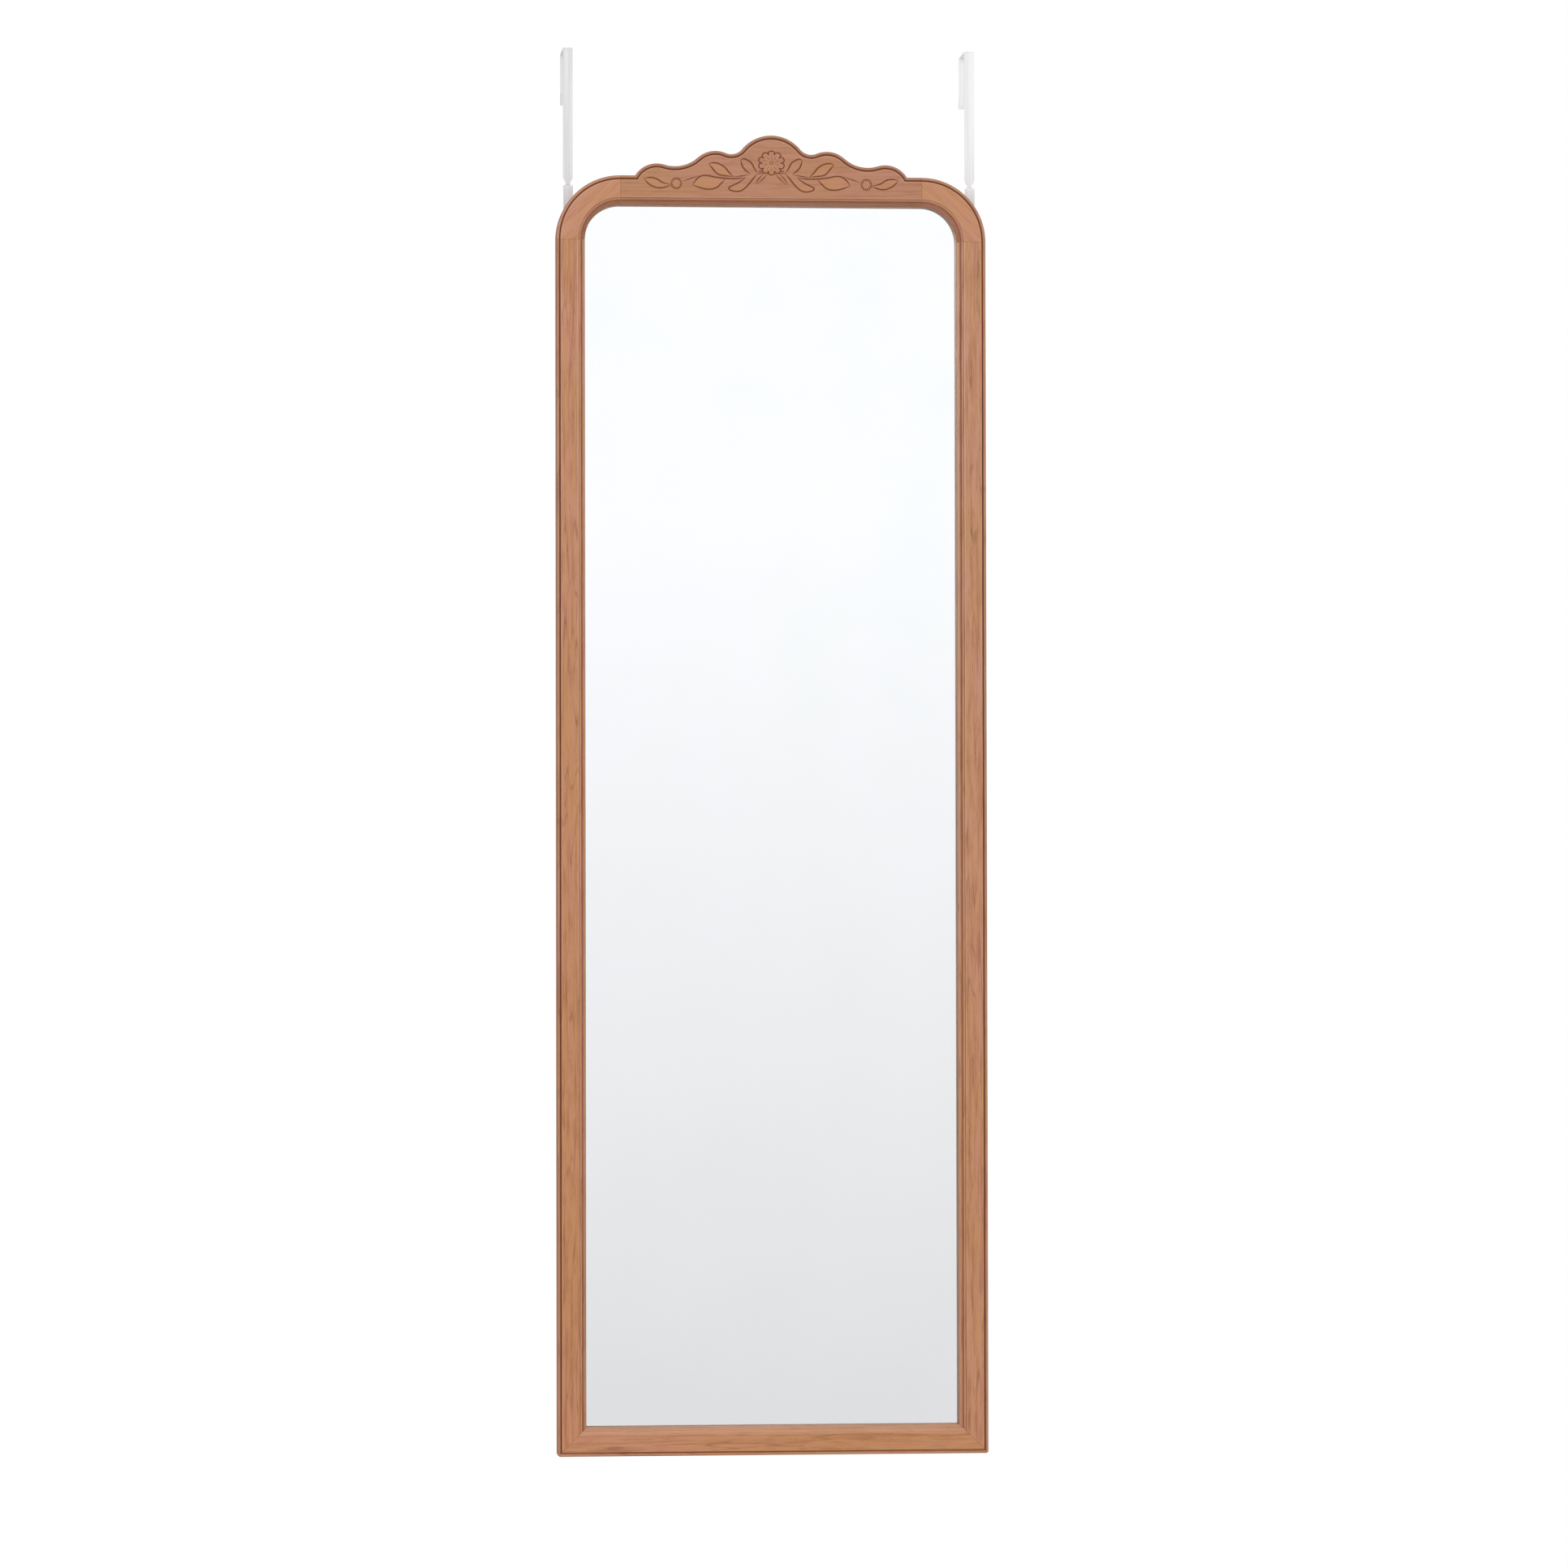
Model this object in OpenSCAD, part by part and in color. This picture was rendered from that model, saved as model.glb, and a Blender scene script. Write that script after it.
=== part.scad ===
/* [Frame] */
// Width of the frame over its two stiles
frame_w = 423; // [340:1:520]
// Height from the bottom edge to the flat part of the top edge
frame_h = 1253; // [900:1:1500]
// Width of the moulding, from its outer edge to its sight edge
mould_w = 28.4; // [26:0.1:34]
// Thickness of the moulding, front to back
mould_t = 22; // [18:0.5:26]
// Outer radius of the two curved top corners
corner_r = 63; // [52:1:72]
// Radius that rounds the two bottom corners
foot_r = 3; // [1:0.5:6]

/* [Moulding profile] */
// Width of the bead along the outer edge
bead_w = 3.4; // [3:0.1:5.5]
// Radius on the outer edge of the bead
bead_r = 2.2; // [1:0.1:2.9]
// Width of the groove beside the bead
groove_w = 1.4; // [1:0.1:2.5]
// Depth of that groove
groove_d = 1.2; // [0.6:0.1:2]
// Width of the sunken strip beside the face
strip_w = 2.6; // [1.5:0.1:3.5]
// Depth of that strip below the face
strip_d = 1.1; // [0.6:0.1:2]
// Width of the slope that falls to the sight edge
slope_w = 4.1; // [2:0.1:5]
// Depth of the sight edge below the face
slope_d = 6.5; // [4:0.1:7.5]

/* [Crest] */
// Height of the middle lobe above the flat top edge
lobe1_h = 40.3; // [34:0.1:50]
// Radius of the middle lobe
lobe1_r = 37; // [33:0.5:40]
// Distance of the second lobes from the middle
lobe2_x = 54.9; // [50:0.1:60]
// Height of the second lobes
lobe2_h = 24.8; // [20:0.1:29]
// Radius of the second lobes
lobe2_r = 26; // [22:0.5:30]
// Distance of the outer lobes from the middle
lobe3_x = 112.6; // [106:0.1:116]
// Height of the outer lobes
lobe3_h = 12; // [8:0.1:15]
// Radius of the outer lobes
lobe3_r = 25; // [20:0.5:28]
// Radius of the hollow between the middle and second lobes
hollow1_r = 14; // [8:0.5:16]
// Radius of the hollow between the second and outer lobes
hollow2_r = 34; // [26:0.5:40]

/* [Mirror and back] */
// Width of the rabbet that holds the glass
rabbet_w = 8; // [6:0.5:10]
// Thickness of the mirror glass
glass_t = 3; // [2:0.5:4]
// Thickness of the foam sheet behind the glass
foam_t = 1; // [0.5:0.5:2]
// Thickness of the backing board
board_t = 3; // [2:0.5:4]
// Room between the glass and the rabbet wall
glass_gap = 1.5; // [0.5:0.1:3]
// Room between the backing board and the rabbet wall
board_gap = 0.5; // [0.2:0.1:1.5]
// Thickness of a retaining point
point_t = 0.6; // [0.4:0.1:1]
// Width of a retaining point
point_w = 6; // [4:0.5:10]
// Length of a retaining point that lies over the board
point_over = 8; // [5:0.5:12]
// Length of a retaining point that is driven into the wood
point_in = 4; // [2:0.5:5]
// Depth of the points below the back of the frame
point_sink = 0.4; // [0.2:0.1:1]
// Points along each stile
side_points = 4; // [2:1:6]
// Points along the top rail and along the bottom rail
end_points = 2; // [2:1:3]
// Height of the lowest and distance of the highest point from the joints
side_point_inset = 110; // [80:5:160]

/* [Joints in the wood] */
// Diameter of a dowel
dowel_d = 5; // [4:0.5:6]
// Length of a dowel
dowel_l = 30; // [20:1:32]
// Distance between the two dowels of a joint
dowel_pitch = 9; // [7:0.5:10]
// Length of the legs of a mitre nail
nail_leg = 6; // [4:0.5:7]
// Thickness of the steel of a mitre nail
nail_t = 0.6; // [0.4:0.1:1]
// Depth that a mitre nail is driven to
nail_l = 10; // [7:0.5:12]
// Distance of the first mitre nail from the outer corner, along each edge
nail_inset = 5; // [4:0.5:6]
// Distance between the two mitre nails of a corner, along each edge
nail_pitch = 8; // [7.5:0.1:9]

/* [Door hooks] */
// Distance of the middle of each hook from the side of the frame
hook_inset = 12.9; // [11:0.1:15]
// Width of the steel strap
strap_w = 9.5; // [8:0.5:12]
// Thickness of the steel strap
strap_t = 1.8; // [1.2:0.1:2.5]
// Height of the hook above the flat top edge of the frame
hook_rise = 128.4; // [90:0.1:200]
// Thickest door that the hook takes, with its clearance
door_gap = 45; // [30:1:60]
// Length of the back leg, from the top of the hook
leg_drop = 51.5; // [35:0.5:70]
// Length of the flared end of the back leg
flare_l = 13; // [6:0.5:18]
// Angle of the flare
flare_a = 17; // [5:1:30]
// Inside radius of the bends of the strap
bend_r = 1; // [0.5:0.1:3]
// Width of the neck that stands in the hanger plate
neck_w = 4.5; // [3.5:0.1:6]
// Length of the neck seen above the hanger plate
neck_l = 3.2; // [2:0.1:6]
// Height of the rounded shoulders above the neck
shoulder_h = 5.6; // [4:0.1:8]
// Width of the foot that carries the hanger plate
foot_w = 9; // [7.5:0.1:9.4]
// Height of that foot
foot_h = 6; // [4:0.5:7]

/* [Hanger plates] */
// Thickness of the hanger plate
plate_t = 1.6; // [1:0.1:2]
// Inside radius of the bend of the hanger plate
plate_bend_r = 1; // [0.5:0.1:1.3]
// Distance of the top of the plate below the flat top edge of the frame
plate_drop = 7.5; // [4:0.1:9]
// Distance of the upper screw from the top of the plate
upper_screw = 26; // [22:1:28]
// Distance of the middle screw below the dowels of the side joint
screw_below = 9.5; // [6:0.5:14]
// Distance between the two lower screws
screw_pitch = 14; // [10:1:20]
// Distance of the lowest screw from the foot of the plate
screw_inset = 8; // [6:0.5:10]
// Diameter of the screw shank
screw_d = 3.5; // [3:0.1:4]
// Length of the screw in the wood
screw_l = 11; // [8:0.5:12]
// Diameter of the screw head
head_d = 6.6; // [5.5:0.1:8]
// Height of the screw head
head_h = 2; // [1.5:0.1:2.4]
// Space between the back of the frame and the door
stand_off = 5; // [4.5:0.1:8]
// Diameter of the two bumpers
bumper_d = 12; // [8:0.5:16]
// Height of the bumpers above the bottom edge
bumper_z = 45; // [30:1:90]

/* [Clearances] */
// Room around dowels, nails, points and screws in the wood
press_gap = 0.05; // [0.02:0.01:0.15]
// Room between the foot of the hook and the ledge of the plate
seat_gap = 0.3; // [0.2:0.05:0.5]
// Room around the neck in the notch of the ledge
neck_gap = 0.45; // [0.4:0.05:0.6]
// Room between the screw and its hole in the plate
screw_gap = 0.2; // [0.1:0.05:0.4]

/* [Hidden] */
$fn = 64;
half_w = frame_w / 2;
cut = 1;
wood_w = mould_w - rabbet_w;
rabbet_d = point_sink + point_t + board_t + foam_t + glass_t;
joint_x = half_w - corner_r;
joint_z = frame_h - corner_r;
board_z = point_sink + point_t;
foam_z = board_z + board_t;
glass_z = foam_z + foam_t;

// Centres of the lobes and hollows of the crest, from the middle of the flat top edge
lobe1 = [0, lobe1_h - lobe1_r];
lobe2 = [lobe2_x, lobe2_h - lobe2_r];
lobe3 = [lobe3_x, lobe3_h - lobe3_r];
hollow1 = circles_meet(lobe1, lobe1_r + hollow1_r, lobe2, lobe2_r + hollow1_r);
hollow2 = circles_meet(lobe2, lobe2_r + hollow2_r, lobe3, lobe3_r + hollow2_r);

// Where the outer lobes come down to the flat top edge
knee_x = lobe3_x + sqrt(lobe3_r * lobe3_r - lobe3[1] * lobe3[1]);

hook_x = half_w - hook_inset;

// Heights on the hook and the hanger plate, above the bottom edge of the frame
plate_top = frame_h - plate_drop;
ledge_under = plate_top - plate_t;
foot_top = ledge_under - seat_gap;
neck_top = plate_top + neck_l;
hook_top = frame_h + hook_rise;
seat_z = hook_top - strap_t;
strap_y = stand_off - strap_t;
notch_y = strap_y - neck_gap;
ledge_y = stand_off - seat_gap;
leg_y = stand_off + door_gap;
middle_screw = plate_top - joint_z + dowel_l / 2 + screw_below;
lowest_screw = middle_screw + screw_pitch;
screw_drops = [upper_screw, middle_screw, lowest_screw];
plate_l = lowest_screw + screw_inset;
bumper_x = half_w - wood_w / 2;
recess_w = 0.8;
recess_l = 3.4;
recess_d = 1.1;
tip_l = 3;

wood_colour = [0.72, 0.52, 0.39];
dowel_colour = [0.86, 0.74, 0.56];
steel_colour = [0.94, 0.94, 0.94];
zinc_colour = [0.70, 0.71, 0.72];
glass_colour = [0.90, 0.94, 0.97];
board_colour = [0.50, 0.37, 0.25];
foam_colour = [0.96, 0.96, 0.94];
rubber_colour = [0.16, 0.16, 0.17];

// The upper point where two circles meet, from their centres and radii
function circles_meet(a, ra, b, rb) =
    let (d = norm(b - a), u = (b - a) / d)
    let (along = (d * d + ra * ra - rb * rb) / (2 * d))
    let (across = sqrt(ra * ra - along * along))
    a + along * u + across * [-u[1], u[0]];

// Evenly spaced places from one end to the other
function spread(from, to, count) = [for (i = [0:count - 1]) from + (to - from) * i / (count - 1)];

// Wooden pieces are drawn face on: x to the right, y up, z from the back to the front.
// This stands the drawing up, with its back in the plane y = 0.
module stand() {
    rotate([90, 0, 0])
        children();
}

// Mirrors a left-hand piece to the right-hand side
module other_side() {
    mirror([1, 0, 0])
        children();
}

// Section of the moulding: x from the outer edge inwards, y from the back to the front
module moulding_section() {
    strip_from = mould_w - slope_w - strip_w;
    slope_from = mould_w - slope_w;
    difference() {
        polygon([
            [0, 0], [wood_w, 0], [wood_w, rabbet_d], [mould_w, rabbet_d],
            [mould_w, mould_t - slope_d], [slope_from, mould_t - strip_d],
            [strip_from, mould_t - strip_d], [strip_from, mould_t], [0, mould_t]
        ]);
        translate([bead_w, mould_t - groove_d])
            square([groove_w, groove_d + cut]);
        translate([0, mould_t - bead_r])
            difference() {
                translate([-cut, 0])
                    square([bead_r + cut, bead_r + cut]);
                translate([bead_r, 0])
                    circle(bead_r);
            }
    }
}

// A straight length of moulding along y, its outer edge on the left at x = -half_w
module upright_length(from, to) {
    translate([-half_w, to, 0])
        rotate([90, 0, 0])
            linear_extrude(to - from)
                moulding_section();
}

// A straight length of moulding along x, centred, its outer edge at the bottom
module level_length(length) {
    translate([-length / 2, 0, 0])
        rotate([90, 0, 90])
            linear_extrude(length)
                moulding_section();
}

// The two dowels of a joint, along z and apart along x, with room around them for their holes
module dowel_pair(room) {
    for (side = [-1, 1])
        translate([side * dowel_pitch / 2, 0, 0])
            cylinder(d = dowel_d + 2 * room, h = dowel_l + 2 * room, center = true);
}

// Dowels between the top rail and the left corner
module top_dowels(room = 0) {
    translate([-joint_x, frame_h - wood_w / 2, mould_t / 2])
        rotate([90, 0, 90])
            dowel_pair(room);
}

// Dowels between the left corner and the left stile
module side_dowels(room = 0) {
    translate([-half_w + wood_w / 2, joint_z, mould_t / 2])
        rotate([90, 0, 0])
            dowel_pair(room);
}

// Two angle nails in the back of the left mitre
module mitre_nails(room = 0) {
    for (place = [nail_inset, nail_inset + nail_pitch])
        translate([place - half_w - room, place - room, room > 0 ? -cut : 0])
            linear_extrude(nail_l + room + (room > 0 ? cut : 0)) {
                square([nail_leg + 2 * room, nail_t + 2 * room]);
                square([nail_t + 2 * room, nail_leg + 2 * room]);
            }
}

// One retaining point, its driven end towards negative x, the rabbet wall at x = 0
module point_blank(room) {
    translate([-point_in - room, -point_w / 2 - room, point_sink - room])
        cube([point_in + point_over + 2 * room, point_w + 2 * room, point_t + 2 * room]);
}

// All the points that hold the backing board
module points(room = 0) {
    wall_x = half_w - wood_w;
    for (side = [-1, 1], y = spread(side_point_inset, joint_z - side_point_inset, side_points))
        translate([side * wall_x, y, 0])
            rotate(side < 0 ? 0 : 180)
                point_blank(room);
    for (x = spread(-joint_x / 2, joint_x / 2, end_points)) {
        translate([x, wood_w, 0])
            rotate(90)
                point_blank(room);
        translate([x, frame_h - wood_w, 0])
            rotate(-90)
                point_blank(room);
    }
}

// Holes for the screws of the left hanger plate
module screw_pilots() {
    for (drop = screw_drops)
        translate([-hook_x, plate_top - drop, -cut])
            cylinder(d = screw_d + 2 * press_gap, h = screw_l + press_gap + cut);
}

// Outline of the top rail, drawn in from its edge by a distance
module crest_outline(inset = 0) {
    intersection() {
        translate([-joint_x, -mould_w])
            square([2 * joint_x, mould_w + lobe1_h + cut]);
        union() {
            translate([-joint_x, -mould_w])
                square([2 * joint_x, mould_w - inset]);
            for (side = [0, 1])
                mirror([side, 0])
                    crest_side(inset);
        }
    }
}

// The lobes and hollows on one side of the crest
module crest_side(inset) {
    translate(lobe1)
        circle(lobe1_r - inset);
    translate(lobe2)
        circle(lobe2_r - inset);
    translate(lobe3)
        circle(lobe3_r - inset);
    difference() {
        polygon([lobe1, lobe2, hollow1]);
        translate(hollow1)
            circle(hollow1_r + inset);
    }
    difference() {
        polygon([lobe2, lobe3, hollow2]);
        translate(hollow2)
            circle(hollow2_r + inset);
    }
}

// The carved crest of the top rail, above the inner steps of the moulding
module crest_block() {
    edge_w = bead_w + groove_w;
    intersection() {
        linear_extrude(mould_t)
            crest_outline();
        translate([-knee_x, -edge_w, 0])
            cube([2 * knee_x, edge_w + lobe1_h + cut, mould_t]);
    }
}

// The groove that follows the edge of the crest
module crest_groove() {
    translate([0, 0, mould_t - groove_d])
        linear_extrude(groove_d + cut)
            difference() {
                crest_outline(bead_w);
                crest_outline(bead_w + groove_w);
            }
}

module top_rail() {
    color(wood_colour)
        stand()
            difference() {
                translate([0, frame_h, 0])
                    difference() {
                        union() {
                            mirror([0, 1, 0])
                                level_length(2 * joint_x);
                            crest_block();
                        }
                        crest_groove();
                    }
                top_dowels(press_gap);
                other_side()
                    top_dowels(press_gap);
                points(press_gap);
            }
}

// The curved corner of the left side
module corner() {
    difference() {
        translate([-joint_x, joint_z, 0])
            rotate_extrude(angle = 90, start = 90)
                translate([corner_r, 0])
                    mirror([1, 0])
                        moulding_section();
        top_dowels(press_gap);
        side_dowels(press_gap);
        screw_pilots();
    }
}

module corner_left() {
    color(wood_colour)
        stand()
            corner();
}

module corner_right() {
    color(wood_colour)
        stand()
            other_side()
                corner();
}

// What the rounding takes off the bottom corner on the left
module foot_round() {
    translate([-half_w, 0, -cut])
        linear_extrude(mould_t + 2 * cut)
            difference() {
                translate([-cut, -cut])
                    square(foot_r + cut);
                translate([foot_r, foot_r])
                    circle(foot_r);
            }
}

// The left stile: mitred at the foot, square at the joint with the corner
module stile() {
    difference() {
        intersection() {
            upright_length(0, joint_z);
            translate([-half_w, 0, -cut])
                linear_extrude(mould_t + 2 * cut)
                    polygon([[0, 0], [mould_w, mould_w], [mould_w, joint_z], [0, joint_z]]);
        }
        foot_round();
        side_dowels(press_gap);
        mitre_nails(press_gap);
        points(press_gap);
        screw_pilots();
    }
}

module stile_left() {
    color(wood_colour)
        stand()
            stile();
}

module stile_right() {
    color(wood_colour)
        stand()
            other_side()
                stile();
}

module bottom_rail() {
    inner = half_w - mould_w;
    color(wood_colour)
        stand()
            difference() {
                intersection() {
                    level_length(frame_w);
                    translate([0, 0, -cut])
                        linear_extrude(mould_t + 2 * cut)
                            polygon([
                                [-half_w, 0], [half_w, 0], [inner, mould_w], [-inner, mould_w]
                            ]);
                }
                for (side = [0, 1])
                    mirror([side, 0, 0]) {
                        foot_round();
                        mitre_nails(press_gap);
                    }
                points(press_gap);
            }
}

module top_dowels_left() {
    color(dowel_colour)
        stand()
            top_dowels();
}

module top_dowels_right() {
    color(dowel_colour)
        stand()
            other_side()
                top_dowels();
}

module side_dowels_left() {
    color(dowel_colour)
        stand()
            side_dowels();
}

module side_dowels_right() {
    color(dowel_colour)
        stand()
            other_side()
                side_dowels();
}

module mitre_nails_left() {
    color(zinc_colour)
        stand()
            mitre_nails();
}

module mitre_nails_right() {
    color(zinc_colour)
        stand()
            other_side()
                mitre_nails();
}

// Outline of a sheet that lies in the rabbet, clear of its wall by a gap
module sheet_outline(gap) {
    reach = half_w - wood_w - gap;
    top = frame_h - wood_w - gap;
    round_r = corner_r - wood_w - gap;
    union() {
        translate([-reach, wood_w + gap])
            square([2 * reach, joint_z - wood_w - gap]);
        translate([-joint_x, joint_z - cut])
            square([2 * joint_x, top - joint_z + cut]);
        for (side = [-1, 1])
            translate([side * joint_x, joint_z])
                circle(round_r);
    }
}

// A sheet in the rabbet, from a height above the back of the frame
module sheet(gap, from, thickness) {
    translate([0, 0, from])
        linear_extrude(thickness)
            sheet_outline(gap);
}

module mirror_glass() {
    color(glass_colour)
        stand()
            sheet(glass_gap, glass_z, glass_t);
}

module foam_sheet() {
    color(foam_colour)
        stand()
            sheet(glass_gap, foam_z, foam_t);
}

module backing_board() {
    color(board_colour)
        stand()
            sheet(board_gap, board_z, board_t);
}

module retaining_points() {
    color(zinc_colour)
        stand()
            points();
}

// Side section of the hanger plate: x towards the door, y up
module plate_section() {
    outer_r = plate_t + plate_bend_r;
    translate([0, plate_top - plate_l])
        square([plate_t, plate_l - outer_r]);
    translate([outer_r, ledge_under])
        square([ledge_y - outer_r, plate_t]);
    translate([outer_r, plate_top - outer_r])
        intersection() {
            difference() {
                circle(outer_r);
                circle(plate_bend_r);
            }
            translate([-outer_r, 0])
                square(outer_r);
        }
}

// Left hanger plate: screwed to the frame, its top bent back into a notched ledge
module hanger_plate() {
    notch_w = neck_w + 2 * neck_gap;
    difference() {
        translate([-hook_x - strap_w / 2, 0, 0])
            rotate([90, 0, 90])
                linear_extrude(strap_w)
                    plate_section();
        translate([-hook_x - notch_w / 2, notch_y, ledge_under - cut])
            cube([notch_w, ledge_y - notch_y + cut, plate_t + 2 * cut]);
        for (drop = screw_drops)
            translate([-hook_x, -cut, plate_top - drop])
                rotate([-90, 0, 0])
                    cylinder(d = screw_d + 2 * screw_gap, h = plate_t + 2 * cut);
    }
}

module hanger_plate_left() {
    color(steel_colour)
        hanger_plate();
}

module hanger_plate_right() {
    color(steel_colour)
        other_side()
            hanger_plate();
}

// Pan-head screw along z, the underside of its head at z = 0, its tip upwards
module screw() {
    shank = plate_t + screw_l - tip_l;
    difference() {
        translate([0, 0, -head_h])
            cylinder(d = head_d, h = head_h);
        for (turn = [0, 90])
            rotate(turn)
                translate([-recess_l / 2, -recess_w / 2, -head_h - cut])
                    cube([recess_l, recess_w, recess_d + cut]);
    }
    cylinder(d = screw_d, h = shank);
    translate([0, 0, shank])
        cylinder(d1 = screw_d, d2 = screw_d / 4, h = tip_l);
}

// The screws of the left hanger plate
module hanger_screws() {
    for (drop = screw_drops)
        translate([-hook_x, plate_top - drop, -plate_t])
            screw();
}

module hanger_screws_left() {
    color(zinc_colour)
        stand()
            hanger_screws();
}

module hanger_screws_right() {
    color(zinc_colour)
        stand()
            other_side()
                hanger_screws();
}

// Rubber bumper at the foot of the left stile
module bumper() {
    translate([-bumper_x, 0, bumper_z])
        rotate([-90, 0, 0])
            cylinder(d = bumper_d, h = stand_off);
}

module bumper_left() {
    color(rubber_colour)
        bumper();
}

module bumper_right() {
    color(rubber_colour)
        other_side()
            bumper();
}

// A quarter of a ring in one quadrant, for the bends of the strap
module bend(quadrant) {
    outer_r = bend_r + strap_t;
    rotate(90 * quadrant)
        intersection() {
            difference() {
                circle(outer_r);
                circle(bend_r);
            }
            square(outer_r);
        }
}

// Side section of the hook: x towards the door, y up
module hook_section() {
    flare_top = hook_top - leg_drop + flare_l * cos(flare_a);
    flare_tip = [leg_y + flare_l * sin(flare_a), hook_top - leg_drop];
    bend_z = seat_z - bend_r;
    translate([strap_y, foot_top - foot_h])
        square([strap_t, bend_z - foot_top + foot_h]);
    translate([stand_off + bend_r, bend_z])
        bend(1);
    translate([stand_off + bend_r, seat_z])
        square([door_gap - 2 * bend_r, strap_t]);
    translate([leg_y - bend_r, bend_z])
        bend(0);
    polygon([
        [leg_y, bend_z], [leg_y, flare_top], flare_tip,
        flare_tip + strap_t * [cos(flare_a), sin(flare_a)],
        [leg_y + strap_t, flare_top + strap_t * tan(flare_a / 2)], [leg_y + strap_t, bend_z]
    ]);
}

// Front outline of the strap, with its shoulders, neck and foot
module strap_outline() {
    inset = (strap_w - neck_w) / 2;
    shoulder_r = (shoulder_h * shoulder_h + inset * inset) / (2 * inset);
    shoulder_z = neck_top + shoulder_h;
    translate([-strap_w / 2, shoulder_z])
        square([strap_w, hook_top - shoulder_z]);
    intersection() {
        translate([-strap_w / 2, neck_top])
            square([strap_w, shoulder_h]);
        translate([strap_w / 2 - shoulder_r, shoulder_z])
            circle(shoulder_r);
        translate([shoulder_r - strap_w / 2, shoulder_z])
            circle(shoulder_r);
    }
    translate([-neck_w / 2, foot_top - foot_h])
        square([neck_w, neck_top - foot_top + foot_h]);
    translate([-foot_w / 2, foot_top - foot_h])
        square([foot_w, foot_h]);
}

// Left hook: a bent strap that goes over the door
module door_hook() {
    depth = leg_y + strap_t + flare_l;
    translate([-hook_x, 0, 0])
        intersection() {
            translate([-strap_w / 2, 0, 0])
                rotate([90, 0, 90])
                    linear_extrude(strap_w)
                        hook_section();
            translate([0, depth, 0])
                rotate([90, 0, 0])
                    linear_extrude(depth)
                        strap_outline();
        }
}

module door_hook_left() {
    color(steel_colour)
        door_hook();
}

module door_hook_right() {
    color(steel_colour)
        other_side()
            door_hook();
}

top_rail();
corner_left();
corner_right();
stile_left();
stile_right();
bottom_rail();
top_dowels_left();
top_dowels_right();
side_dowels_left();
side_dowels_right();
mitre_nails_left();
mitre_nails_right();
mirror_glass();
foam_sheet();
backing_board();
retaining_points();
hanger_plate_left();
hanger_plate_right();
hanger_screws_left();
hanger_screws_right();
bumper_left();
bumper_right();
door_hook_left();
door_hook_right();
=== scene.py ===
import math
import bmesh
import bpy
from mathutils import Matrix, Quaternion, Vector


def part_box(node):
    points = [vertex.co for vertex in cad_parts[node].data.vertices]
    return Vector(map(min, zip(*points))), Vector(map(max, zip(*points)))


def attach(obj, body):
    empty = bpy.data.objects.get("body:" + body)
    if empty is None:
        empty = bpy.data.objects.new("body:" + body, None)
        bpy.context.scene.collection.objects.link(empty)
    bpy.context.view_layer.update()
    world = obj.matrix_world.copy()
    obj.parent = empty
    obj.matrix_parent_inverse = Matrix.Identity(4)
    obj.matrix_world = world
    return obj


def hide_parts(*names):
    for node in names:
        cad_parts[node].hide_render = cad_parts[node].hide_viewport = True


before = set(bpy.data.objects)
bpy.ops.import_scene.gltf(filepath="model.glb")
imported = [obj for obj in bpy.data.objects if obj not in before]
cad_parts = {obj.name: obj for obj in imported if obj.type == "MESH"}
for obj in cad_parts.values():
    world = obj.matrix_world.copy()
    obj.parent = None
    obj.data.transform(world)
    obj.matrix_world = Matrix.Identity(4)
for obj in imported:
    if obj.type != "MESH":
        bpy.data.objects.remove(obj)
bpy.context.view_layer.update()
mm = 0.001
near = 0.001 * mm  # points closer than this are one point
sameWay = 0.999  # the least cosine of two directions that count as one
quarter = math.pi / 2
print("frame loaded")

# places that everything below is worked out from, all read from the frame
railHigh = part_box("top_rail")[1]
stileLow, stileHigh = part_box("stile_left")
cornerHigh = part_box("corner_left")[1]
halfWidth = -stileLow.x
jointX = railHigh.x
jointZ = stileHigh.z
flatTop = cornerHigh.z
mouldWidth = halfWidth + stileHigh.x
mouldDepth = -stileLow.y
seatDepth = -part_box("mirror_glass")[0].y  # the rabbet is as deep as the glass lies


class Wire:
    # one socket of a node tree, so that sums can be written as sums
    def __init__(self, tree, socket):
        self.tree = tree
        self.socket = socket

    def math(self, operation, *others):
        values = dict(enumerate((self,) + others))
        return self.tree.add("Math", {"operation": operation}, values)

    def __add__(self, other):
        return self.math("ADD", other)

    def __rsub__(self, other):
        return self.tree.add("Math", {"operation": "SUBTRACT"}, {0: other, 1: self})

    def __mul__(self, other):
        return self.math("MULTIPLY", other)

    __rmul__ = __mul__

    def ramp(self, low, high, outLow=0.0, outHigh=1.0, style="SMOOTHSTEP"):
        # a step from outLow to outHigh as the value goes from low to high
        values = {"Value": self, "From Min": low, "From Max": high, "To Min": outLow, "To Max": outHigh}
        return self.tree.add("MapRange", {"interpolation_type": style, "clamp": True}, values)


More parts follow.
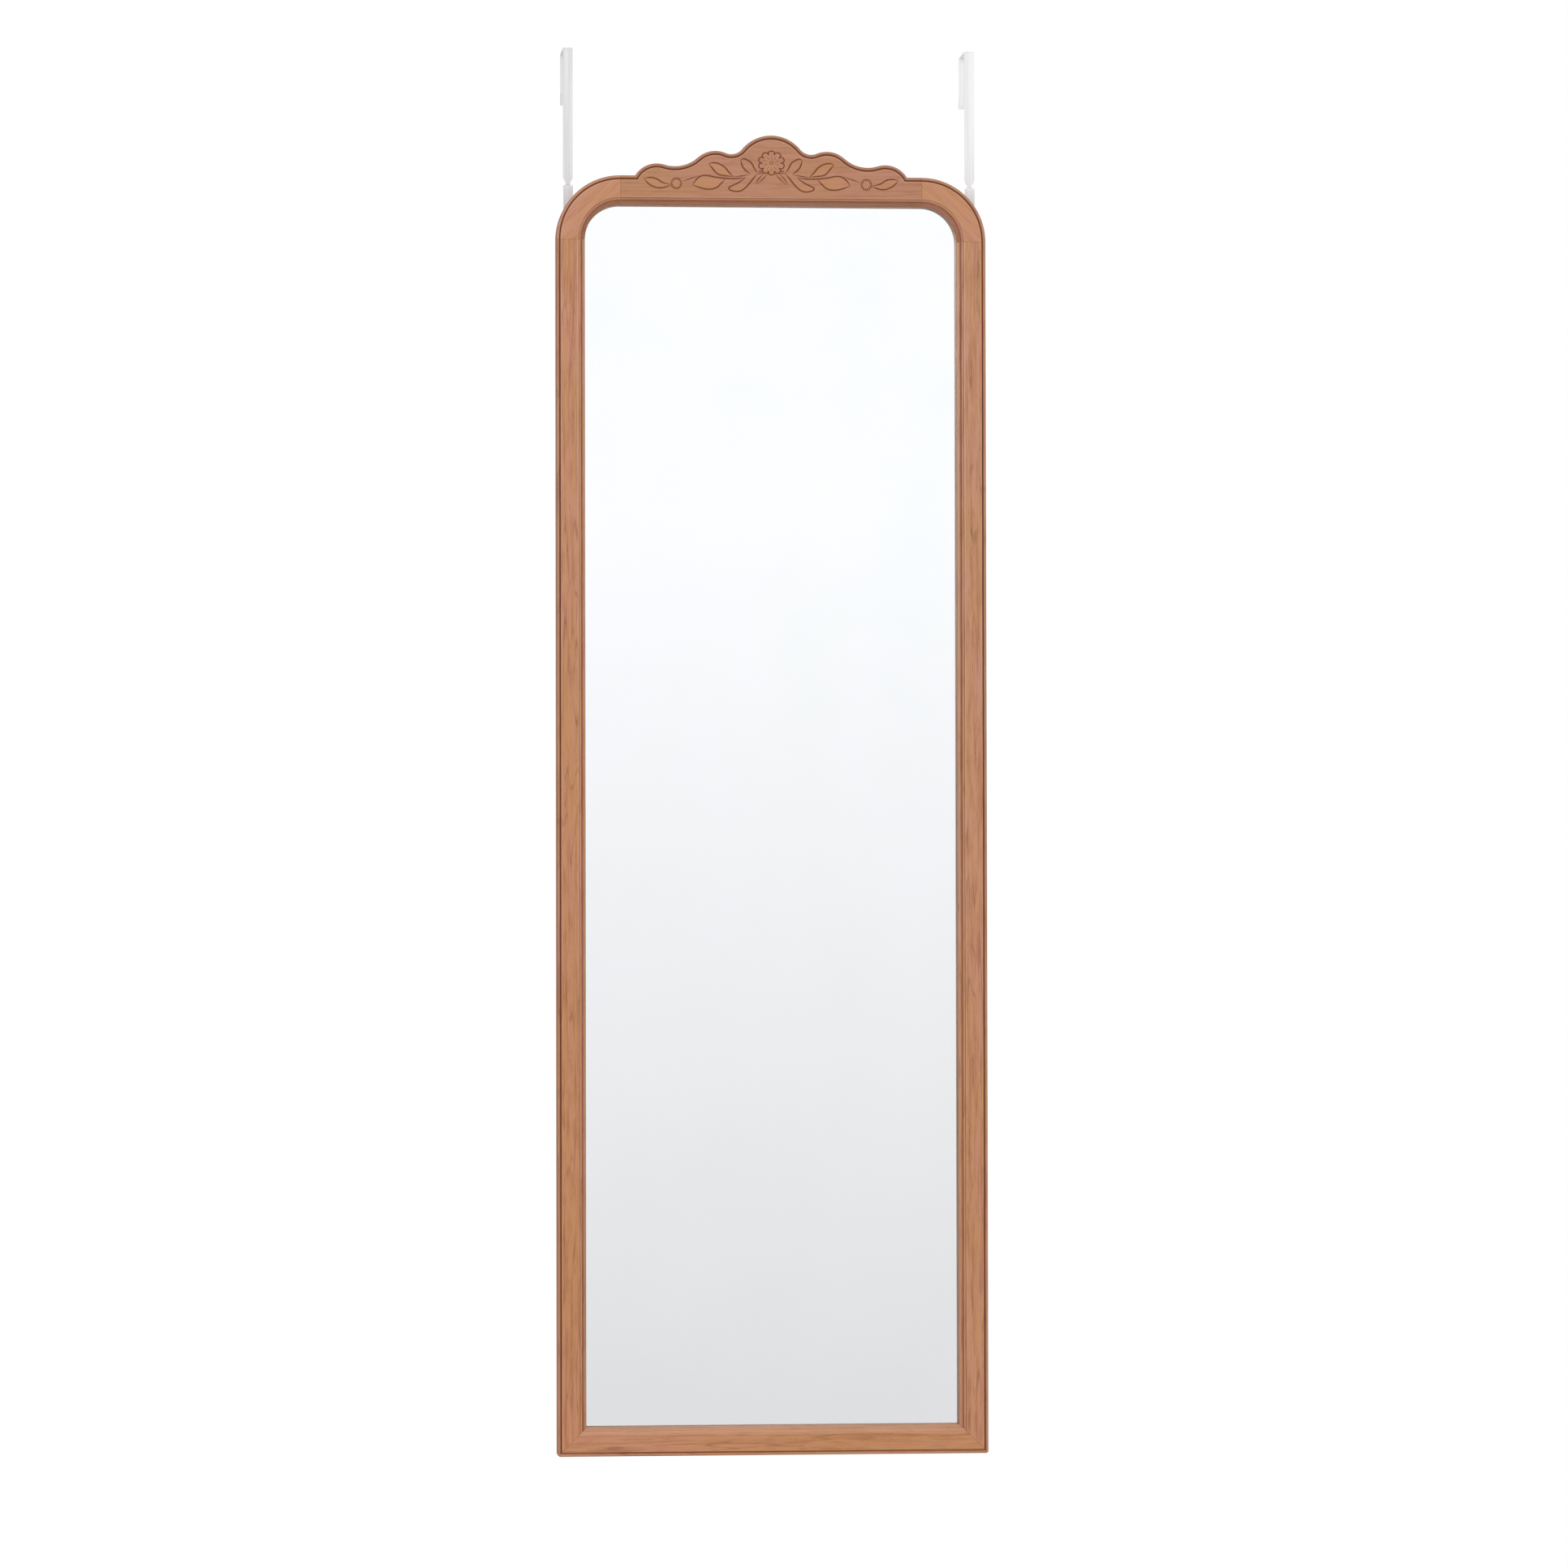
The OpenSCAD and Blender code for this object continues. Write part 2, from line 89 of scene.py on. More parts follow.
class Tree:
    # builds the nodes of one material or of the world
    def __init__(self, owner):
        owner.use_nodes = True
        self.nodes = owner.node_tree.nodes
        self.links = owner.node_tree.links
        self.nodes.clear()

    def add(self, kind, settings=None, values=None, out=0):
        # one node with its settings and the values of its inputs; out is the output that is used
        node = self.nodes.new("ShaderNode" + kind)
        for name, setting in (settings or {}).items():
            setattr(node, name, setting)
        for name, value in (values or {}).items():
            socket = node.inputs[name]
            if isinstance(value, Wire):
                self.links.new(value.socket, socket)
            else:
                socket.default_value = value
        return Wire(self, node.outputs[out]) if node.outputs else None

    def mix(self, share, first, second, blend="MIX"):
        values = {0: share, 6: first, 7: second}  # the Mix node keeps its colours in sockets 6 and 7
        return self.add("Mix", {"data_type": "RGBA", "blend_type": blend}, values, out=2)

    def place(self, turn=(0, 0, 0), stretch=(1, 1, 1), move=(0, 0, 0)):
        # object coordinates, turned, stretched and moved
        spot = self.add("TexCoord", out="Object")
        return self.add("Mapping", {}, {"Vector": spot, "Location": move, "Rotation": turn, "Scale": stretch})

    def noise(self, spot, scale, detail, roughness=0.55):
        values = {"Vector": spot, "Scale": scale, "Detail": detail, "Roughness": roughness}
        return self.add("TexNoise", {}, values)

    def relief(self, height, strength, distance):
        return self.add("Bump", {}, {"Height": height, "Strength": strength, "Distance": distance})

    def surface(self, **values):
        named = {name.replace("_", " "): value for name, value in values.items()}
        self.add("OutputMaterial", {}, {"Surface": self.add("BsdfPrincipled", {}, named)})


def srgb(red, green, blue):
    # a colour as a picture editor shows it, in the renderer's linear values
    linear = [((c / 255 + 0.055) / 1.055) ** 2.4 if c > 10 else c / 255 / 12.92 for c in (red, green, blue)]
    return (*linear, 1.0)


def newMaterial(name):
    material = bpy.data.materials.new(name)
    return material, Tree(material)


noiseSpan = (0.3, 0.7)  # most values of a noise lie between these
# in the looks below, a Span is two values between which a finish changes over, a Share is how
# strongly it does, a noise is its scale, its detail and perhaps its roughness, and a relief is the
# strength and the height of a bump
woodLook = {
    "rosy": srgb(194, 137, 108),
    "honey": srgb(190, 136, 93),
    "brown": srgb(150, 90, 55),
    "pore": srgb(116, 67, 42),
    # the dark stain of the grooves, also laid on as painted shade on the outer edge and the sight wall
    "groove": srgb(112, 56, 30),
    # painted highlight: the pale colour laid where light would catch the lips and edges
    "paintedHighlight": srgb(224, 180, 152),
    "leaf": srgb(190, 132, 86),
    "foot": (1.0, 0.96, 0.88, 1.0),  # the colour is multiplied by this near the floor
    "footSpan": (0.2, 1.0),
    # noises: the share of the scale that is left along the grain, scale, shift, detail, roughness
    "cloud": (0.35, 16.0, 0.0, 3.0, 0.55),
    "blush": (0.04, 230.0, 6.0, 3.0, 0.55),
    "mottle": (0.15, 190.0, 4.0, 5.0, 0.65),
    "streak": (0.03, 430.0, 7.0, 4.0, 0.6),
    "pores": (0.07, 1200.0, 2.0, 2.0, 0.55),
    "figure": (0.045, 62.0, 9.0, 1.5, 0.55),
    "figureLines": 20.0,
    "figureWidth": 0.2,
    "figureShare": (0.14, 0.42),  # in plain patches, and in mottled ones
    "honeySpan": (0.4, 0.6),
    "mottleSpan": (0.44, 0.68),
    "mottleShare": 0.34,
    "streakSpan": (0.48, 0.68),
    "streakShare": 0.42,
    "patchSpan": (0.35, 0.6),
    "poreSpan": (0.56, 0.72),
    "poreShare": 0.32,
    "leafShare": 0.42,
    "highlightSpan": (0.3, 1.1),
    "highlightShare": (0.35, 1.0),  # how strong the painted highlights are below and above that span of height
    "roughness": (0.4, 0.56),
    "relief": (0.2, 0.3 * mm),
    "specular": 0.32,
    "varnish": 0.12,
    "varnishRoughness": 0.3,
}


def grainNoise(tree, spot, kind):
    # noise that is drawn out along the grain
    along, scale, shift, detail, roughness = woodLook[kind]
    values = {"Vector": spot, "Scale": (along, 1, 1), "Location": (shift, shift, shift)}
    return tree.noise(tree.add("Mapping", {}, values), scale, detail, roughness)


def stainedWood(name, turn=0.0, move=(0, 0, 0), tint=(1.0, 1.0, 1.0), grain=1.0):
    # turn is the angle of the grain from the x axis, in the plane of the frame; grain is its strength
    look = woodLook
    material, tree = newMaterial(name)
    spot = tree.place(turn=(0, turn, 0), move=move)
    cloud, blush, mottle, streak, pores, figure = [
        grainNoise(tree, spot, kind) for kind in ("cloud", "blush", "mottle", "streak", "pores", "figure")]
    lines = (figure * look["figureLines"]).math("PINGPONG", 1.0).ramp(0.0, look["figureWidth"], 1.0, 0.0)
    figured = mottle.ramp(*look["patchSpan"], *look["figureShare"])
    porous = mottle.ramp(*look["patchSpan"]) * look["poreShare"]
    base = tree.mix((cloud * 0.5 + blush * 0.5).ramp(*look["honeySpan"]), look["rosy"], look["honey"])
    base = tree.mix(mottle.ramp(*look["mottleSpan"]) * look["mottleShare"] * grain, base, look["brown"])
    base = tree.mix(streak.ramp(*look["streakSpan"]) * look["streakShare"] * grain, base, look["brown"])
    base = tree.mix(lines * figured * grain, base, look["pore"])
    base = tree.mix(pores.ramp(*look["poreSpan"]) * porous * grain, base, look["pore"])
    # the tone of the whole board, and of its foot
    base = tree.mix(1.0, base, (*tint, 1.0), blend="MULTIPLY")
    height = tree.add("SeparateXYZ", {}, {"Vector": tree.place()}, out="Z")
    base = tree.mix(height.ramp(*look["footSpan"], 1.0, 0.0), base, look["foot"], blend="MULTIPLY")
    # the leaves, and the dark and pale lines that the shapes below mark: stain and painted shade in the dark
    # ones, painted highlight in the pale ones
    leaf = tree.add("Attribute", {"attribute_name": "leaf"}, out="Fac")
    base = tree.mix(leaf * look["leafShare"], base, look["leaf"])
    stainAndPaintedLight = tree.add("Attribute", {"attribute_name": "stainAndPaintedLight"}, out="Fac")
    # dark stain, and painted shade where the shapes below mark it
    dark = stainAndPaintedLight.ramp(0.0, 1.0, style="LINEAR")
    base = tree.mix(dark, base, look["groove"])
    # painted highlights from the pale stain values, fainter towards the bottom of the frame
    light = (stainAndPaintedLight * -1.0).ramp(0.0, 1.0, style="LINEAR") * height.ramp(*look["highlightSpan"], *look["highlightShare"])
    base = tree.mix(light, base, look["paintedHighlight"])
    tree.surface(Base_Color=base, Roughness=streak.ramp(*noiseSpan, *look["roughness"]),
                 Normal=tree.relief(streak * 0.5 + pores * 0.5, *look["relief"]),
                 Specular_IOR_Level=look["specular"], Coat_Weight=look["varnish"] * (1 - dark),
                 Coat_Roughness=look["varnishRoughness"])
    return material


paintLook = {
    "bands": (380.0, 2.0),
    "bandStretch": (1, 1, 0.02),
    "bandSpan": (0.38, 0.62),
    "cloud": (60.0, 4.0),
    "cloudSpan": (0.5, 0.8),
    "cloudShare": 0.5,
    "roughness": (0.3, 0.42),
    "relief": (0.1, 0.2 * mm),
}


def paintedSteel(name, light, dark):
    # thick white paint with faint bands along the strap
    look = paintLook
    material, tree = newMaterial(name)
    bands = tree.noise(tree.place(stretch=look["bandStretch"]), *look["bands"])
    cloud = tree.noise(tree.place(), *look["cloud"])
    base = tree.mix(bands.ramp(*look["bandSpan"]), light, dark)
    base = tree.mix(cloud.ramp(*look["cloudSpan"]) * look["cloudShare"], base, dark)
    tree.surface(Base_Color=base, Roughness=cloud.ramp(*noiseSpan, *look["roughness"]),
                 Normal=tree.relief(cloud, *look["relief"]))
    return material


zincLook = {
    "cool": srgb(176, 178, 184),
    "warm": srgb(200, 199, 190),
    "warmSpan": (0.35, 0.65),
    "broad": (60.0, 2.0),
    "fine": (260.0, 5.0),
    "metallic": 0.9,
    "roughness": (0.28, 0.45),
}


def platedSteel(name):
    # zinc in broad cool and warm patches
    look = zincLook
    material, tree = newMaterial(name)
    fine = tree.noise(tree.place(), *look["fine"])
    broad = tree.noise(tree.place(), *look["broad"])
    tree.surface(Base_Color=tree.mix(broad.ramp(*look["warmSpan"]), look["cool"], look["warm"]),
                 Metallic=look["metallic"], Roughness=fine.ramp(*noiseSpan, *look["roughness"]))
    return material


silverLook = {
    "colours": (srgb(250, 251, 252), srgb(252, 252, 253)),
    "haze": (5.0, 3.0),
    "hazeSpan": (0.4, 0.8),
    "roughness": (0.012, 0.02),
}


def silvering(name):
    look = silverLook
    material, tree = newMaterial(name)
    haze = tree.noise(tree.place(), *look["haze"])
    tree.surface(Base_Color=tree.mix(haze.ramp(*noiseSpan), *look["colours"]), Metallic=1.0,
                 Roughness=haze.ramp(*look["hazeSpan"], *look["roughness"]))
    return material


glassLook = {
    "colours": (srgb(251, 253, 252), srgb(253, 254, 254)),
    "haze": (9.0, 3.0),
    "hazeSpan": (0.4, 0.8),
    "roughness": (0.0, 0.004),
    "refraction": 1.5,
}


def clearGlass(name):
    look = glassLook
    material, tree = newMaterial(name)
    haze = tree.noise(tree.place(), *look["haze"])
    tree.surface(Base_Color=tree.mix(haze.ramp(*noiseSpan), *look["colours"]), Transmission_Weight=1.0,
                 IOR=look["refraction"], Roughness=haze.ramp(*look["hazeSpan"], *look["roughness"]))
    return material


boardLook = {
    "colours": (srgb(112, 78, 52), srgb(134, 97, 66)),
    "cloud": (22.0, 5.0),
    "fibreColour": srgb(160, 124, 90),
    "fibre": (900.0, 4.0, 0.7),
    "fibreSpan": (0.55, 0.75),
    "fibreShare": 0.5,
    "roughness": (0.55, 0.7),
    "relief": (0.25, 0.3 * mm),
}


def hardboard(name):
    look = boardLook
    material, tree = newMaterial(name)
    fibre = tree.noise(tree.place(), *look["fibre"])
    cloud = tree.noise(tree.place(), *look["cloud"])
    base = tree.mix(cloud.ramp(*noiseSpan), *look["colours"])
    base = tree.mix(fibre.ramp(*look["fibreSpan"]) * look["fibreShare"], base, look["fibreColour"])
    tree.surface(Base_Color=base, Roughness=cloud.ramp(*noiseSpan, *look["roughness"]),
                 Normal=tree.relief(fibre, *look["relief"]))
    return material


rubberLook = {
    "colours": (srgb(38, 38, 40), srgb(66, 65, 64)),
    "grain": (1500.0, 2.0),
    "dust": (120.0, 4.0),
    "dustSpan": (0.45, 0.8),
    "dustShare": 0.6,
    "roughness": (0.6, 0.75),
    "relief": (0.3, 0.2 * mm),
}


def blackRubber(name):
    look = rubberLook
    material, tree = newMaterial(name)
    grain = tree.noise(tree.place(), *look["grain"])
    dust = tree.noise(tree.place(), *look["dust"])
    base = tree.mix(dust.ramp(*look["dustSpan"]) * look["dustShare"], *look["colours"])
    tree.surface(Base_Color=base, Roughness=dust.ramp(*noiseSpan, *look["roughness"]),
                 Normal=tree.relief(grain, *look["relief"]))
    return material


foamLook = {
    "colours": (srgb(238, 238, 234), srgb(246, 246, 243)),
    "cellScale": 900.0,
    "cellSpan": (0.2, 0.6),
    "roughness": 0.85,
    "relief": (0.4, 0.3 * mm),
}


def whiteFoam(name):
    look = foamLook
    material, tree = newMaterial(name)
    cells = tree.add("TexVoronoi", {}, {"Vector": tree.place(), "Scale": look["cellScale"]})
    tree.surface(Base_Color=tree.mix(cells.ramp(*look["cellSpan"]), *look["colours"]),
                 Roughness=look["roughness"], Normal=tree.relief(cells, *look["relief"]))
    return material


dowelLook = {
    "colours": (srgb(216, 184, 142), srgb(190, 150, 106)),
    "flecks": (500.0, 4.0),
    "fleckStretch": (0.1, 1, 1),
    "fleckSpan": (0.45, 0.75),
    "roughness": (0.6, 0.75),
}


def beechDowel(name):
    look = dowelLook
    material, tree = newMaterial(name)
    flecks = tree.noise(tree.place(stretch=look["fleckStretch"]), *look["flecks"])
    tree.surface(Base_Color=tree.mix(flecks.ramp(*look["fleckSpan"]), *look["colours"]),
                 Roughness=flecks.ramp(*noiseSpan, *look["roughness"]))
    return material


# the moves take each piece out of a different part of the noise, as from another board
levelWood = stainedWood("stained_wood_level")
crestWood = stainedWood("stained_wood_crest", move=(1.7, 0.3, 0.9), tint=(0.86, 0.845, 0.855), grain=0.5)
leftWood = stainedWood("stained_wood_left", turn=quarter, move=(0.2, 0.5, 2.3), tint=(0.98, 0.97, 0.96))
rightWood = stainedWood("stained_wood_right", turn=quarter, move=(2.9, 0.1, 0.4), tint=(0.99, 1.02, 1.07))
leftCornerWood = stainedWood("stained_wood_corner_left", turn=quarter / 2, move=(5.1, 0.8, 0.2), grain=0.6)
rightCornerWood = stainedWood("stained_wood_corner_right", turn=-quarter / 2, move=(0.6, 2.2, 3.1), grain=0.6)
# one white paint, painted a shade darker on the left hook and lighter on the right: painted shade and light
shadedPaintLeft = paintedSteel("white_paint_shaded_left", srgb(228, 228, 229), srgb(216, 216, 218))
litPaintRight = paintedSteel("white_paint_lit_right", srgb(243, 243, 243), srgb(233, 233, 234))
zincSteel = platedSteel("zinc_plated_steel")
print("finishes made")


smoothAngle = 30  # degrees; a sharper edge stays sharp in the shading


def shadeSmooth(piece):
    mesh = piece.data
    mesh.polygons.foreach_set("use_smooth", [True] * len(mesh.polygons))
    mesh.set_sharp_from_angle(angle=math.radians(smoothAngle))
    even = piece.modifiers.new("even", "WEIGHTED_NORMAL")  # flat faces stay flat beside their rounded edges
    even.keep_sharp = True


def finishPiece(node, bm, material, body):
    # turns a bmesh into the finished piece that stands for a node
    name = node + "_shaped"
    mesh = bpy.data.meshes.new(name)
    bm.to_mesh(mesh)
    bm.free()
    mesh.materials.append(material)
    piece = bpy.data.objects.new(name, mesh)
    bpy.context.scene.collection.objects.link(piece)
    shadeSmooth(piece)
    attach(piece, body)
    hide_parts(node)
    return piece


mouldShape = {
    "beadWidth": 3.0 * mm,
    "beadRound": 2.2 * mm,
    "beadInnerRound": 0.7 * mm,
    "grooveWidth": 1.1 * mm,
    "grooveDepth": 1.2 * mm,
    "grooveRound": 0.45 * mm,
    "lipRound": 0.5 * mm,
    "lipFade": 0.8 * mm,
    "stripWidth": 2.6 * mm,
    "stripDepth": 1.1 * mm,
    "stripRound": 0.35 * mm,
    "stripFade": 0.9 * mm,
    "slopeWidth": 4.1 * mm,
    "slopeDepth": 6.5 * mm,
    # across and forward from the sight edge, where the slope turns from a dark line to the painted highlight
    # of the sight edge
    "slopeBands": ((3.36 * mm, 3.84 * mm), (2.24 * mm, 2.8 * mm), (1.28 * mm, 1.6 * mm)),
    "sightRound": 0.8 * mm,
    "wallShade": (1.28 * mm, 3.2 * mm),  # where the sight wall is painted dark, painted shade, down from its edge
    "wallFoot": 3.2 * mm,  # where it is painted pale, painted light, up from the glass
    "seatRound": 0.2 * mm,
    "seatWidth": 8 * mm,
    "backRound": 0.6 * mm,
    "arris": 0.22 * mm,
    "edgeShade": 1.7 * mm,
    "edgeShadeAndHighlight": (1.0, -0.8),  # painted shade on the outer edge, and painted highlight on the bead that far in from it
    "endStain": 0.25,
    # how far each piece's strip lines are worn, and its highlights dimmed and slope darkened by painted shade
    "stileWornAndShaded": 0.15,
    "railWornAndShaded": 0.5,
    # how far the bottom rail's groove stain is faded and its inner edge painted pale, painted light where it
    # faces up
    "railFadedAndLit": 0.9,
    "cornerWornAndShaded": 0.8,
    "crestWornAndShaded": 0.7,
}


def mouldSection(bm, spot, wornAndShaded=0.0, fadedAndLit=0.0):
    # the section as one face: spot(inset, depth) places a point that lies inset from the outer
    # edge and depth behind the front. Stain is dark above zero and pale below it: the dark is stain
    # in the grooves and painted shade on the outer edge and the sight wall, and the pale is painted
    # highlight on the lips, the bead and the sight edge. The wear setting says how far the crisp lines
    # of the strip are sanded away, the painted highlights dimmed and the slope darkened by painted
    # shade, as where the moulding faces down, and the fade setting how far the dark stain gives way to
    # painted light and the inner edge is painted pale, as where it faces up to the light
    s = mouldShape
    stainAndPaintedLight = bm.verts.layers.float.new("stainAndPaintedLight")
    ledge = mouldWidth - s["slopeWidth"]
    ridge = ledge - s["stripWidth"]
    groove = s["beadWidth"] + s["grooveWidth"]
    fade = s["lipRound"] + s["lipFade"]
    seat = mouldDepth - seatDepth
    rabbet = mouldWidth - s["seatWidth"]
    bands = [(mouldWidth - across, s["slopeDepth"] - forward) for across, forward in s["slopeBands"]]
    shadeTop, shadeFoot = [s["slopeDepth"] + down for down in s["wallShade"]]
    corners = [  # inset, depth, rounding, its steps, and the stain when crisp, when worn and shaded, when faded and lit
        (0, 0, s["beadRound"], 7, 0.0, 0.0, 0.0),
        (s["beadWidth"], 0, s["beadInnerRound"], 3, 0.45, 0.45, 0.2),
        (s["beadWidth"], s["grooveDepth"], s["grooveRound"], 3, 1.0, 1.0, 0.6),
        (groove, s["grooveDepth"], s["grooveRound"], 3, 1.0, 1.0, 0.6),
        # the groove's lip painted pale, a painted highlight
        (groove, 0, s["lipRound"], 3, -0.4, -0.4, -0.4),
        (groove + fade, 0, 0, 0, 0.0, 0.0, 0.0),
        (ridge - fade, 0, 0, 0, 0.0, 0.0, 0.0),
        # the ridge's lip painted pale, a painted highlight
        (ridge - fade / 2, 0, 0, 0, -0.5, 0.0, -1.0),
        (ridge, 0, s["lipRound"], 3, -0.7, -0.1, -1.0),
        (ridge, s["stripDepth"], s["stripRound"], 2, 0.9, 0.3, -1.0),
        (ridge + s["stripFade"], s["stripDepth"], 0, 0, -0.2, 0.2, -1.0),
        (ledge - s["stripFade"], s["stripDepth"], 0, 0, -0.2, 0.3, -1.0),
        (ledge, s["stripDepth"], s["stripRound"], 2, 0.8, 0.8, -1.0),
        # a dark line, then the painted highlight of the sight edge
        (*bands[0], 0, 0, 0.5, 0.5, -1.0),
        (*bands[1], 0, 0, -0.3, 0.6, -1.0),
        (*bands[2], 0, 0, -0.8, 0.7, -1.0),
        (mouldWidth, s["slopeDepth"], s["sightRound"], 3, -0.1, 0.5, -1.0),
        # painted shade on the top of the sight wall, and painted light at its foot
        (mouldWidth, shadeTop, 0, 0, 0.9, 0.9, -1.0),
        (mouldWidth, shadeFoot, 0, 0, 0.9, 0.9, -1.0),
        (mouldWidth, seat - s["wallFoot"], 0, 0, -1.0, -1.0, -1.0),
        (mouldWidth, seat, s["seatRound"], 2, -1.0, -1.0, -1.0),
        (rabbet, seat, 0, 0, 0.8, 0.8, 0.8),
        (rabbet, mouldDepth, s["backRound"], 2, 0.0, 0.0, 0.0),
        (0, mouldDepth, s["backRound"], 2, 0.4, 0.4, 0.4),
    ]
    verts = []
    for inset, depth, rounding, steps, crispStain, wornAndShadedStain, fadedAndLitStain in corners:
        shade = crispStain + wornAndShaded * (wornAndShadedStain - crispStain)
        verts.append(bm.verts.new((inset, depth, 0)))
        verts[-1][stainAndPaintedLight] = shade + fadedAndLit * (fadedAndLitStain - shade)
    bm.faces.new(verts)
    for vert, corner in zip(verts, corners):
        rounding, steps = corner[2:4]
        if rounding:
            bmesh.ops.bevel(bm, geom=[vert], offset=rounding, segments=steps, profile=0.5,
                            affect="VERTICES", material=-1, offset_type="OFFSET")
    # painted shade on the outer edge and side, turning to a painted highlight on the top of the bead
    outer, inner = s["edgeShadeAndHighlight"]
    for vert in bm.verts:
        inset, depth = vert.co.xy
        if inset < s["edgeShade"] and depth < mouldDepth / 2:
            vert[stainAndPaintedLight] = outer + (inner - outer) * inset / s["edgeShade"]
        vert.co = spot(inset, depth)
    return bm.faces[:][0]


manyCorners = 20  # a side of a moulding has fewer corners than this, its section has more


def endFaces(bm, normal):
    # the section where it ends a piece, looking along normal
    return [face for face in bm.faces
            if face.normal.dot(normal) > sameWay and len(face.verts) > manyCorners]


def capAndEase(bm, normal):
    # eases the edges of the flat end that looks along normal, and carries it out by as much
    arris = mouldShape["arris"]
    ends = endFaces(bm, normal)
    bmesh.ops.inset_region(bm, faces=ends, thickness=arris, depth=arris, use_even_offset=True)
    stainAndPaintedLight = bm.verts.layers.float["stainAndPaintedLight"]
    for vert in {vert for face in ends for vert in face.verts}:
        vert[stainAndPaintedLight] = mouldShape["endStain"]


def sweptLength(spot, along, wornAndShaded=0.0, fadedAndLit=0.0):
    # a straight length of moulding: its section placed by spot and drawn out along a vector
    bm = bmesh.new()
    face = mouldSection(bm, spot, wornAndShaded, fadedAndLit)
    swept = bmesh.ops.extrude_face_region(bm, geom=[face])
    moved = [item for item in swept["geom"] if isinstance(item, bmesh.types.BMVert)]
    bmesh.ops.translate(bm, verts=moved, vec=along)
    bmesh.ops.recalc_face_normals(bm, faces=bm.faces)
    return bm


def cutAway(bm, point, outward):
    # cuts along a plane, clears what lies outward of it and closes the cut
    geom = bm.verts[:] + bm.edges[:] + bm.faces[:]
    cut = bmesh.ops.bisect_plane(bm, geom=geom, plane_co=point, plane_no=outward, clear_outer=True)
    edges = [edge for edge in cut["geom_cut"] if isinstance(edge, bmesh.types.BMEdge)]
    bmesh.ops.contextual_create(bm, geom=edges)
    bm.normal_update()


def otherSide(bm):
    # turns a left-hand piece into its right-hand twin
    bmesh.ops.scale(bm, vec=(-1, 1, 1), verts=bm.verts)
    bmesh.ops.reverse_faces(bm, faces=bm.faces)
    return bm


footShape = {"round": 3 * mm, "cuts": 5}


def roundFoot(bm, side):
    # rounds the outer bottom corner by a fan of cuts; side is -1 on the left and 1 on the right
    radius = footShape["round"]
    centre = Vector((side * (halfWidth - radius), 0, radius))
    for step in range(footShape["cuts"]):
        angle = (step + 0.5) / footShape["cuts"] * quarter
        outward = Vector((side * math.cos(angle), 0, -math.sin(angle)))
        reach = max((vert.co - centre).dot(outward) for vert in bm.verts)
        if reach > radius:
            cutAway(bm, centre + outward * radius, outward)


def makeStile(side):
    # mitred at the foot and square at the joint with the corner block
    arris = mouldShape["arris"]
    bm = sweptLength(lambda inset, depth: Vector((inset - halfWidth, depth - mouldDepth, 0)),
                     Vector((0, 0, jointZ - arris)), wornAndShaded=mouldShape["stileWornAndShaded"])
    mitre = Vector((1, 0, -1)).normalized()
    cutAway(bm, Vector((-halfWidth, 0, 0)) - mitre * arris, mitre)
    capAndEase(bm, mitre)
    capAndEase(bm, Vector((0, 0, 1)))
    roundFoot(bm, -1)
    return bm if side < 0 else otherSide(bm)


def makeBottomRail():
    # mitred at both ends
    arris = mouldShape["arris"]
    bm = sweptLength(lambda inset, depth: Vector((-halfWidth, depth - mouldDepth, inset)),
                     Vector((2 * halfWidth, 0, 0)), wornAndShaded=mouldShape["railWornAndShaded"],
                     fadedAndLit=mouldShape["railFadedAndLit"])
    for side in (-1, 1):
        mitre = Vector((side, 0, 1)).normalized()
        cutAway(bm, Vector((side * halfWidth, 0, 0)) - mitre * arris, mitre)
        capAndEase(bm, mitre)
        roundFoot(bm, side)
    return bm


cornerSteps = 32  # flats round the quarter turn of a corner block


def makeCorner(side):
    # the section is spun round the centre of the corner, then its two ends are drawn in and eased
    bm = bmesh.new()
    face = mouldSection(bm, lambda inset, depth: Vector((inset - halfWidth, depth - mouldDepth, jointZ)),
                        wornAndShaded=mouldShape["cornerWornAndShaded"])
    centre = Vector((-jointX, 0, jointZ))
    bmesh.ops.spin(bm, geom=bm.verts[:] + bm.edges[:] + [face], cent=centre, axis=(0, 1, 0), angle=quarter,
                   steps=cornerSteps, use_duplicate=False)
    bmesh.ops.recalc_face_normals(bm, faces=bm.faces)
    for normal in (Vector((0, 0, -1)), Vector((1, 0, 0))):
        ring = {vert for end in endFaces(bm, normal) for vert in end.verts}
        bmesh.ops.translate(bm, verts=list(ring), vec=-normal * mouldShape["arris"])
        capAndEase(bm, normal)
    return bm if side < 0 else otherSide(bm)


for name, side, wood in (("left", -1, leftWood), ("right", 1, rightWood)):
    finishPiece("stile_" + name, makeStile(side), wood, "mirror")
for name, side, wood in (("left", -1, leftCornerWood), ("right", 1, rightCornerWood)):
    finishPiece("corner_" + name, makeCorner(side), wood, "mirror")
finishPiece("bottom_rail", makeBottomRail(), levelWood, "mirror")
print("stiles, corners and bottom rail made")


crestShape = {
    # each lobe from the middle outward: how far across, how high above the flat edge, its radius
    "lobes": ((0, 40.3 * mm, 37 * mm), (54.9 * mm, 24.8 * mm, 26 * mm), (112.6 * mm, 12 * mm, 25 * mm)),
    "hollows": (14 * mm, 34 * mm),  # radii of the hollows between them
    "steps": (14, 8, 12, 12, 14),  # of each arc, from the knee to the top
}


def circlesMeet(a, radiusA, b, radiusB):
    # the upper point where two circles meet
    apart = (b - a).length
    along = (b - a) / apart
    reach = (apart ** 2 + radiusA ** 2 - radiusB ** 2) / (2 * apart)
    rise = math.sqrt(radiusA ** 2 - reach ** 2)
    return a + along * reach + Vector((-along.z, 0, along.x)) * rise


